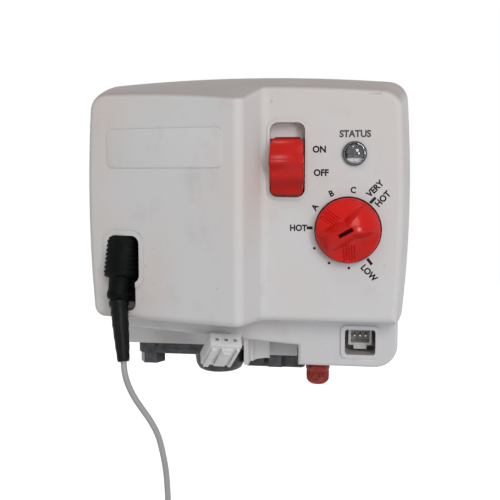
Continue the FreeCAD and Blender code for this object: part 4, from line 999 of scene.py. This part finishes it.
class VALVE_OT_connectors(bpy.types.Operator):
    """Make the harness plug, and finish its notch and the service socket"""

    bl_idname = "valve.connectors"
    bl_label = "Connectors"

    def execute(self, context):
        plug = make_piece("wire_plug", self.plug(), moulded_nylon("Nylon moulded plug", "#D3D2D2", "#BDBBB8"))
        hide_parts("harness_plug")
        make_piece("notch_lip", blocks(NOTCH_LIP, NOTCH_WALL), worn_by("base_housing"))
        make_piece("socket_floor", blocks(SOCKET_FLOOR),
                   moulded_nylon("Nylon moulded floor", "#D3D5D1", "#BEC0BB"))
        wear("service_header", moulded_nylon("Nylon moulded header", "#CFCDCB", "#AAA8A4"))
        wear("header_pins", turned_metal("Brass tinned pins", "#B7B2A6", "#8D8470", 0.3, 0.4))
        return {"FINISHED"}

    def plug(self):
        width, thick, length = (size * MM for size in PLUG_SIZE)
        columns, rows = PLUG_GRID
        mesh = bmesh.new()
        # The end's grid has an odd number of columns, so every other one in its middle row is a way
        end = bmesh.ops.create_grid(mesh, x_segments=columns, y_segments=rows, size=0.5)["verts"]
        bmesh.ops.scale(mesh, vec=(width, thick, 1), verts=end)
        ways = [face for face in mesh.faces if abs(face.calc_center_median().y) < thick / (2 * rows)
                and round(face.calc_center_median().x / (width / columns)) in WAY_COLUMNS]
        rim = [line for line in mesh.edges if line.is_boundary]
        walls = bmesh.ops.extrude_edge_only(mesh, edges=rim)["geom"]
        foot = [part for part in walls if isinstance(part, bmesh.types.BMVert)]
        bmesh.ops.translate(mesh, vec=(0, 0, -length), verts=foot)
        bmesh.ops.contextual_create(mesh, geom=[line for line in mesh.edges if line.is_boundary])
        holes = bmesh.ops.extrude_discrete_faces(mesh, faces=ways)["faces"]
        for hole in holes:
            bmesh.ops.scale(mesh, vec=WAY_NARROWING, verts=hole.verts,
                            space=Matrix.Translation(-hole.calc_center_median()))
        holes = bmesh.ops.extrude_discrete_faces(mesh, faces=holes)["faces"]
        for hole in holes:
            bmesh.ops.translate(mesh, vec=(0, 0, -WAY_DEPTH * MM), verts=hole.verts)
        corners = [line for line in mesh.edges if len(line.link_faces) == 2
                   and line.calc_face_angle() > CORNER_TURN
                   and all(abs(abs(point.co.x) - width / 2) < ON_FACE * MM
                           or abs(abs(point.co.y) - thick / 2) < ON_FACE * MM for point in line.verts)]
        soften(mesh, corners, PLUG_EDGE * MM)
        front = -PLUG_SIZE[1] / 2
        for across, along, wide, long, high in PLUG_RIBS:
            block(mesh, (across, front + (RIB_SUNK - high) / 2, -along), (wide, high + RIB_SUNK, long), RIB_EDGE)
        block(mesh, *PLUG_NECK)
        bmesh.ops.recalc_face_normals(mesh, faces=mesh.faces)
        outward = Vector(PLUG_LONG).normalized()
        back = outward.cross(Vector(PLUG_ACROSS)).normalized()
        move(mesh, Matrix.Translation(Vector(PLUG_END) * MM) @ axes(back.cross(outward), back, outward))
        return mesh


# Stiffening rib cast under the body and foot beside it: middle, size and edge, in millimetres
RIB_UNDER = ((-38.0, -35.0, -68.8), (46.0, 20.0, 5.0), 1.4)
FOOT_UNDER = ((5.5, -24.6, -72.2), (33.0, 10.0, 16.6), 2.4)
# Collar about the burner outlet, with its profile from the body down and back up its bore
OUTLET_AXIS = (-24.0, -24.0, 0.0)
OUTLET_PROFILE = [(8.8, -63.0), (13.9, -63.0), (13.6, -70.0), (13.2, -76.0), (12.6, -79.6), (11.4, -81.8),
                  (10.0, -82.6), (9.2, -82.2), (8.8, -81.4), (8.8, -63.0)]


class VALVE_OT_gas_body(bpy.types.Operator):
    """Finish the casting and its fittings, and add what is cast under it"""

    bl_idname = "valve.gas_body"
    bl_label = "Gas body"

    def execute(self, context):
        # Painted shade: the casting's grey is made dark to stand in for the shade it lies in under the housing
        wear("valve_casting", die_cast("Aluminium die-cast body", "#48494B", "#343536"))
        # Painted shade: the tap plugs are made dark to stand in for the shade they lie in
        wear("tap_plugs", turned_metal("Steel blackened plugs", "#4A4A4D", "#1E1E20", 0.3, 0.5))
        plated = turned_metal("Steel zinc-plated", "#B4B5B6", "#77756F", 0.28, 0.5)
        for name in ("inlet_strainer", "cover_screws", "base_screws", "board_screws", "switch_lever", "knob_shaft",
                     "spark_terminal"):
            wear(name, plated)
        wear("pilot_fitting", turned_metal("Brass turned fitting", "#C2A25C", "#7F6A3E", 0.26, 0.5))
        wear("sensor_probe", turned_metal("Stainless drawn probe", "#B9B7B3", "#8B8782", 0.22, 0.8))
        cast = worn_by("valve_casting")
        make_piece("cast_rib", blocks(RIB_UNDER, FOOT_UNDER), cast)
        mesh = spun(OUTLET_PROFILE, 64)
        bmesh.ops.translate(mesh, vec=Vector(OUTLET_AXIS) * MM, verts=mesh.verts)
        make_piece("outlet_collar", mesh, cast)
        return {"FINISHED"}


# Dust cap from its mouth downwards: a collar, a flange and a ribbed barrel with a round end
CAP_PROFILE = [(3.66, 0.0), (4.7, 0.0), (4.75, 2.4), (5.7, 2.9), (6.0, 3.3), (6.0, 5.0), (5.75, 5.4), (5.4, 5.7),
               (5.4, 6.0), (5.5, 6.4), (5.5, 8.4), (5.4, 10.6), (4.9, 11.7), (3.8, 12.6), (2.0, 12.95),
               (0.0, 13.0), (0.0, 9.8), (3.66, 9.8), (3.66, 0.0)]
# Its ribs: where they run, the radius from which a point is on the barrel's outside, their number and height
CAP_RIB_BAND = (5.9, 11.0)
CAP_WALL = 4.5
CAP_RIBS = 30
CAP_RIB_HEIGHT = 0.22
STEPS_PER_RIB = 4


class VALVE_OT_dust_cap(bpy.types.Operator):
    """Make the ribbed cap on the pilot outlet"""

    bl_idname = "valve.dust_cap"
    bl_label = "Dust cap"

    def execute(self, context):
        mesh = spun(CAP_PROFILE, CAP_RIBS * STEPS_PER_RIB)
        for point in mesh.verts:
            radius = math.hypot(point.co.x, point.co.y)
            if CAP_RIB_BAND[0] < point.co.z / MM < CAP_RIB_BAND[1] and radius > CAP_WALL * MM:
                swell = CAP_RIB_HEIGHT * MM * math.cos(CAP_RIBS * math.atan2(point.co.y, point.co.x))
                point.co.xy *= (radius + swell) / radius
        centre = middle_of("dust_cap")
        mouth = Matrix.Translation((centre.x, centre.y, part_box("dust_cap")[1].z))
        move(mesh, mouth @ Matrix.Rotation(math.pi, 4, "X"))
        vinyl = dipped_vinyl("Vinyl dipped cap", context.scene.valve_finish.cap)
        cap = make_piece("ribbed_cap", mesh, vinyl)
        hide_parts("dust_cap")
        return {"FINISHED"}


# Shank along the axis, in millimetres: hexagon across its corners, then the barrel and its thread
HEX_CORNER = 21.94
HEX_DEPTH = 8.0
HEX_EDGE = 0.6
SHANK_LENGTH = 24.0
SHANK_CHAMFER = 0.7
SHANK_SUNK = 0.4
THREAD_ROOT = 12.25
THREAD_CREST = 13.3
THREAD_SUNK = 0.2
THREAD_PITCH = 1.814
THREAD_TURNS = 12.5
# Where in a pitch the thread's crest and its far foot are
THREAD_PEAK = 0.45
THREAD_FOOT = 0.9
STEPS_PER_TURN = 36
# A pipe thread loses a sixteenth of its length in diameter
THREAD_TAPER = 1 / 32


class VALVE_OT_shank(bpy.types.Operator):
    """Make the threaded tank shank"""

    bl_idname = "valve.shank"
    bl_label = "Tank shank"

    def execute(self, context):
        mesh = spun([(0.0, SHANK_LENGTH), (THREAD_ROOT - SHANK_CHAMFER, SHANK_LENGTH),
                     (THREAD_ROOT, SHANK_LENGTH - SHANK_CHAMFER), (THREAD_ROOT, -SHANK_SUNK), (0.0, -SHANK_SUNK)],
                    72)
        start_of_thread = len(mesh.verts)
        section = [(THREAD_ROOT - THREAD_SUNK, 0.0), (THREAD_CREST, THREAD_PEAK),
                   (THREAD_ROOT - THREAD_SUNK, THREAD_FOOT)]
        points = [mesh.verts.new((radius * MM, 0, height * THREAD_PITCH * MM)) for radius, height in section]
        face = mesh.faces.new(points)
        steps = round(THREAD_TURNS * STEPS_PER_TURN)
        bmesh.ops.spin(mesh, geom=[face] + list(face.edges) + points, axis=UP, cent=(0, 0, 0), steps=steps,
                       angle=2 * math.pi * THREAD_TURNS, dvec=(0, 0, THREAD_PITCH / STEPS_PER_TURN * MM))
        mesh.verts.ensure_lookup_table()
        for point in mesh.verts[start_of_thread:]:
            radius = math.hypot(point.co.x, point.co.y)
            point.co.xy *= 1 - point.co.z * THREAD_TAPER / radius
        hexagon = bmesh.ops.create_circle(mesh, cap_ends=True, segments=6, radius=HEX_CORNER * MM)["verts"]
        bmesh.ops.rotate(mesh, verts=hexagon, cent=(0, 0, 0), matrix=Matrix.Rotation(math.pi / 2, 3, "Z"))
        bmesh.ops.translate(mesh, verts=hexagon, vec=(0, 0, -HEX_DEPTH * MM))
        top = pull(mesh, [hexagon[0].link_faces[0]], (0, 0, HEX_DEPTH * MM))
        rim = [line for line in mesh.edges if set(line.verts) <= set(top + hexagon)]
        soften(mesh, rim, HEX_EDGE * MM)
        bmesh.ops.recalc_face_normals(mesh, faces=mesh.faces)
        move(mesh, Matrix.Rotation(-math.pi / 2, 4, "X"))
        brass = turned_metal("Brass machined shank", "#C6A763", "#8A7242", 0.24, 0.6)
        shank = make_piece("threaded_shank", mesh, brass)
        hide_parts("tank_shank")
        return {"FINISHED"}


# Radius of the springs' wire, in millimetres, and their turns
SPRING_WIRE = 0.7
SPRING_TURNS = 4
SPRING_STEPS_PER_TURN = 24


class VALVE_OT_inner(bpy.types.Operator):
    """Finish the pieces inside the housing and wind the valves' springs"""

    bl_idname = "valve.inner"
    bl_label = "Inner pieces"

    def execute(self, context):
        wear("control_board", masked_laminate("Laminate solder-masked board", "#17512E", "#2E7A4A", "#0A2415"))
        potting = moulded_rubber("Epoxy potted block", "#0C0D0D", "#232526")
        for name in ("ignition_module", "potentiometer", "slide_switch"):
            wear(name, potting)
        wrap = shrunk_tube("Polyester taped coil", "#161717", "#2E3031")
        sprung = turned_metal("Stainless spring wire", "#B7B6B4", "#8E8C88", 0.25, 0.4)
        seal = moulded_rubber("Nitrile faced plunger", "#0C0D0D", "#232526")
        wire = SPRING_WIRE * MM
        for valve in ("main_valve", "pilot_valve"):
            wear(valve + "_coil", wrap)
            wear(valve + "_disc", seal)
            low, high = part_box(valve + "_spring")
            mesh = bmesh.new()
            ring = bmesh.ops.create_circle(mesh, segments=10, radius=wire)["verts"]
            bmesh.ops.translate(mesh, vec=((high.x - low.x) / 2 - wire, 0, 0), verts=ring)
            steps = SPRING_TURNS * SPRING_STEPS_PER_TURN
            bmesh.ops.spin(mesh, geom=mesh.verts[:] + mesh.edges[:], axis=(0, 1, 0), cent=(0, 0, 0), steps=steps,
                           dvec=(0, (high.y - low.y - 2 * wire) / steps, 0), angle=SPRING_TURNS * 2 * math.pi)
            bmesh.ops.holes_fill(mesh, edges=[line for line in mesh.edges if line.is_boundary])
            bmesh.ops.recalc_face_normals(mesh, faces=mesh.faces)
            fixed = Vector(((low.x + high.x) / 2, low.y + wire, (low.z + high.z) / 2))
            bmesh.ops.translate(mesh, vec=fixed, verts=mesh.verts)
            # The spring's front end sits on the plate and its back end on the plunger; here it rides on no body,
            # and its place is baked into its mesh
            spring = make_piece(valve + "_coil_spring", mesh, sprung, None)
            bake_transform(spring)
            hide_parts(valve + "_spring")
        return {"FINISHED"}


# What the camera and the lamps aim at, in millimetres
TARGET = (2.0, -95.0, -12.0)
FLOOR_SIZE = 8.0
FLOOR_LIFT = 0.75
# Soft key, a small lamp for the glints and one overhead for the crests: place and size, in metres
LAMPS = [("key", (0.5, -1.15, 0.62), 0.6), ("glint", (0.8, -1.15, 0.08), 0.22), ("crest", (-0.2, -0.6, 1.0), 0.22)]


def looking(direction):
    """Turn of a camera or lamp that looks this way."""
    return direction.to_track_quat("-Z", "Y").to_euler()


class VALVE_OT_stage(bpy.types.Operator):
    """Set the floor, the lights and the camera"""

    bl_idname = "valve.stage"
    bl_label = "Stage"

    def execute(self, context):
        scene = context.scene
        scene.view_settings.view_transform = "Standard"
        self.floor(scene, scene.valve_stage)
        self.lights(scene, scene.valve_stage)
        self.camera(scene, scene.valve_stage)
        return {"FINISHED"}

    def seen(self, tree):
        """1 for what the camera, gloss and clear pieces see, 0 for the light on the object."""
        path = add(tree, "ShaderNodeLightPath", {}).outputs
        both = add(tree, "ShaderNodeMath", {0: path["Is Camera Ray"], 1: path["Is Glossy Ray"]},
                   operation="MAXIMUM")
        return add(tree, "ShaderNodeMath", {0: both, 1: path["Is Transmission Ray"]}, operation="MAXIMUM")

    def floor(self, scene, sizes):
        mesh = bmesh.new()
        bmesh.ops.create_grid(mesh, x_segments=1, y_segments=1, size=FLOOR_SIZE / 2)
        bmesh.ops.translate(mesh, vec=(0, 0, -sizes.floor_drop), verts=mesh.verts)
        data = bpy.data.meshes.new("floor")
        mesh.to_mesh(data)
        mesh.free()
        made, tree, shader, place = start("Paper white floor")
        paper = mottled(tree, place, shade("#E6E6E6"), shade("#EAEAEA"), 90, (0.3, 0.7))
        fill(tree, shader, {"Base Color": paper, "Roughness": 0.9})
        # Where the floor is seen it is lifted to white, and keeps its shadows
        lift = add(tree, "ShaderNodeMath", {0: self.seen(tree), 1: FLOOR_LIFT}, operation="MULTIPLY")
        glow = add(tree, "ShaderNodeEmission", {"Color": WHITE, "Strength": lift})
        lifted = add(tree, "ShaderNodeAddShader", {0: shader, 1: glow})
        fill(tree, tree.nodes["Material Output"], {"Surface": lifted})
        data.materials.append(made)
        floor = bpy.data.objects.new("floor", data)
        scene.collection.objects.link(floor)

    def lights(self, scene, sizes):
        world = bpy.data.worlds.new("Studio")
        world.use_nodes = True
        tree = world.node_tree
        dim = tree.nodes["Background"]
        fill(tree, dim, {"Color": WHITE, "Strength": sizes.sky})
        white = add(tree, "ShaderNodeBackground", {"Color": WHITE, "Strength": 1.0})
        mixed = add(tree, "ShaderNodeMixShader", {0: self.seen(tree), 1: dim, 2: white})
        fill(tree, tree.nodes["World Output"], {"Surface": mixed})
        scene.world = world
        for name, place, size in LAMPS:
            lamp = bpy.data.lights.new(name, "AREA")
            lamp.energy = getattr(sizes, name + "_power")
            lamp.size = size
            light = bpy.data.objects.new(name, lamp)
            light.location = place
            light.rotation_euler = looking(Vector(TARGET) * MM - Vector(place))
            scene.collection.objects.link(light)

    def camera(self, scene, sizes):
        back = Vector((math.sin(sizes.azimuth) * math.cos(sizes.elevation),
                       -math.cos(sizes.azimuth) * math.cos(sizes.elevation), math.sin(sizes.elevation)))
        data = bpy.data.cameras.new("photo_view")
        data.lens = sizes.lens
        data.sensor_width = 36.0
        data.clip_start = 0.01
        camera = bpy.data.objects.new("photo_view", data)
        camera.location = Vector(TARGET) * MM + back * sizes.distance
        camera.rotation_euler = looking(-back)
        scene.collection.objects.link(camera)
        scene.camera = camera


OPERATORS = (VALVE_OT_stage, VALVE_OT_mouldings, VALVE_OT_controls, VALVE_OT_lamp, VALVE_OT_printing,
             VALVE_OT_plate, VALVE_OT_igniter, VALVE_OT_lead, VALVE_OT_connectors, VALVE_OT_gas_body,
             VALVE_OT_dust_cap, VALVE_OT_shank, VALVE_OT_inner)


class VALVE_PT_panel(bpy.types.Panel):
    """Lists the steps and the sizes that can be changed"""

    bl_idname = "VALVE_PT_panel"
    bl_label = "Gas valve"
    bl_space_type = "VIEW_3D"
    bl_region_type = "UI"
    bl_category = "Gas valve"

    def draw(self, context):
        for operator in OPERATORS:
            self.layout.operator(operator.bl_idname)
        for group in GROUPS:
            settings = getattr(context.scene, group)
            for name in settings.__annotations__:
                self.layout.prop(settings, name)


CLASSES = (*GROUPS.values(), *OPERATORS, VALVE_PT_panel)


def register():
    for made in CLASSES:
        bpy.utils.register_class(made)
    for name, group in GROUPS.items():
        setattr(bpy.types.Scene, name, bpy.props.PointerProperty(type=group))


def unregister():
    for name in GROUPS:
        delattr(bpy.types.Scene, name)
    for made in reversed(CLASSES):
        bpy.utils.unregister_class(made)


def main():
    register()
    for operator in OPERATORS:
        group, step = operator.bl_idname.split(".")
        getattr(getattr(bpy.ops, group), step)()


if __name__ == "__main__":
    main()
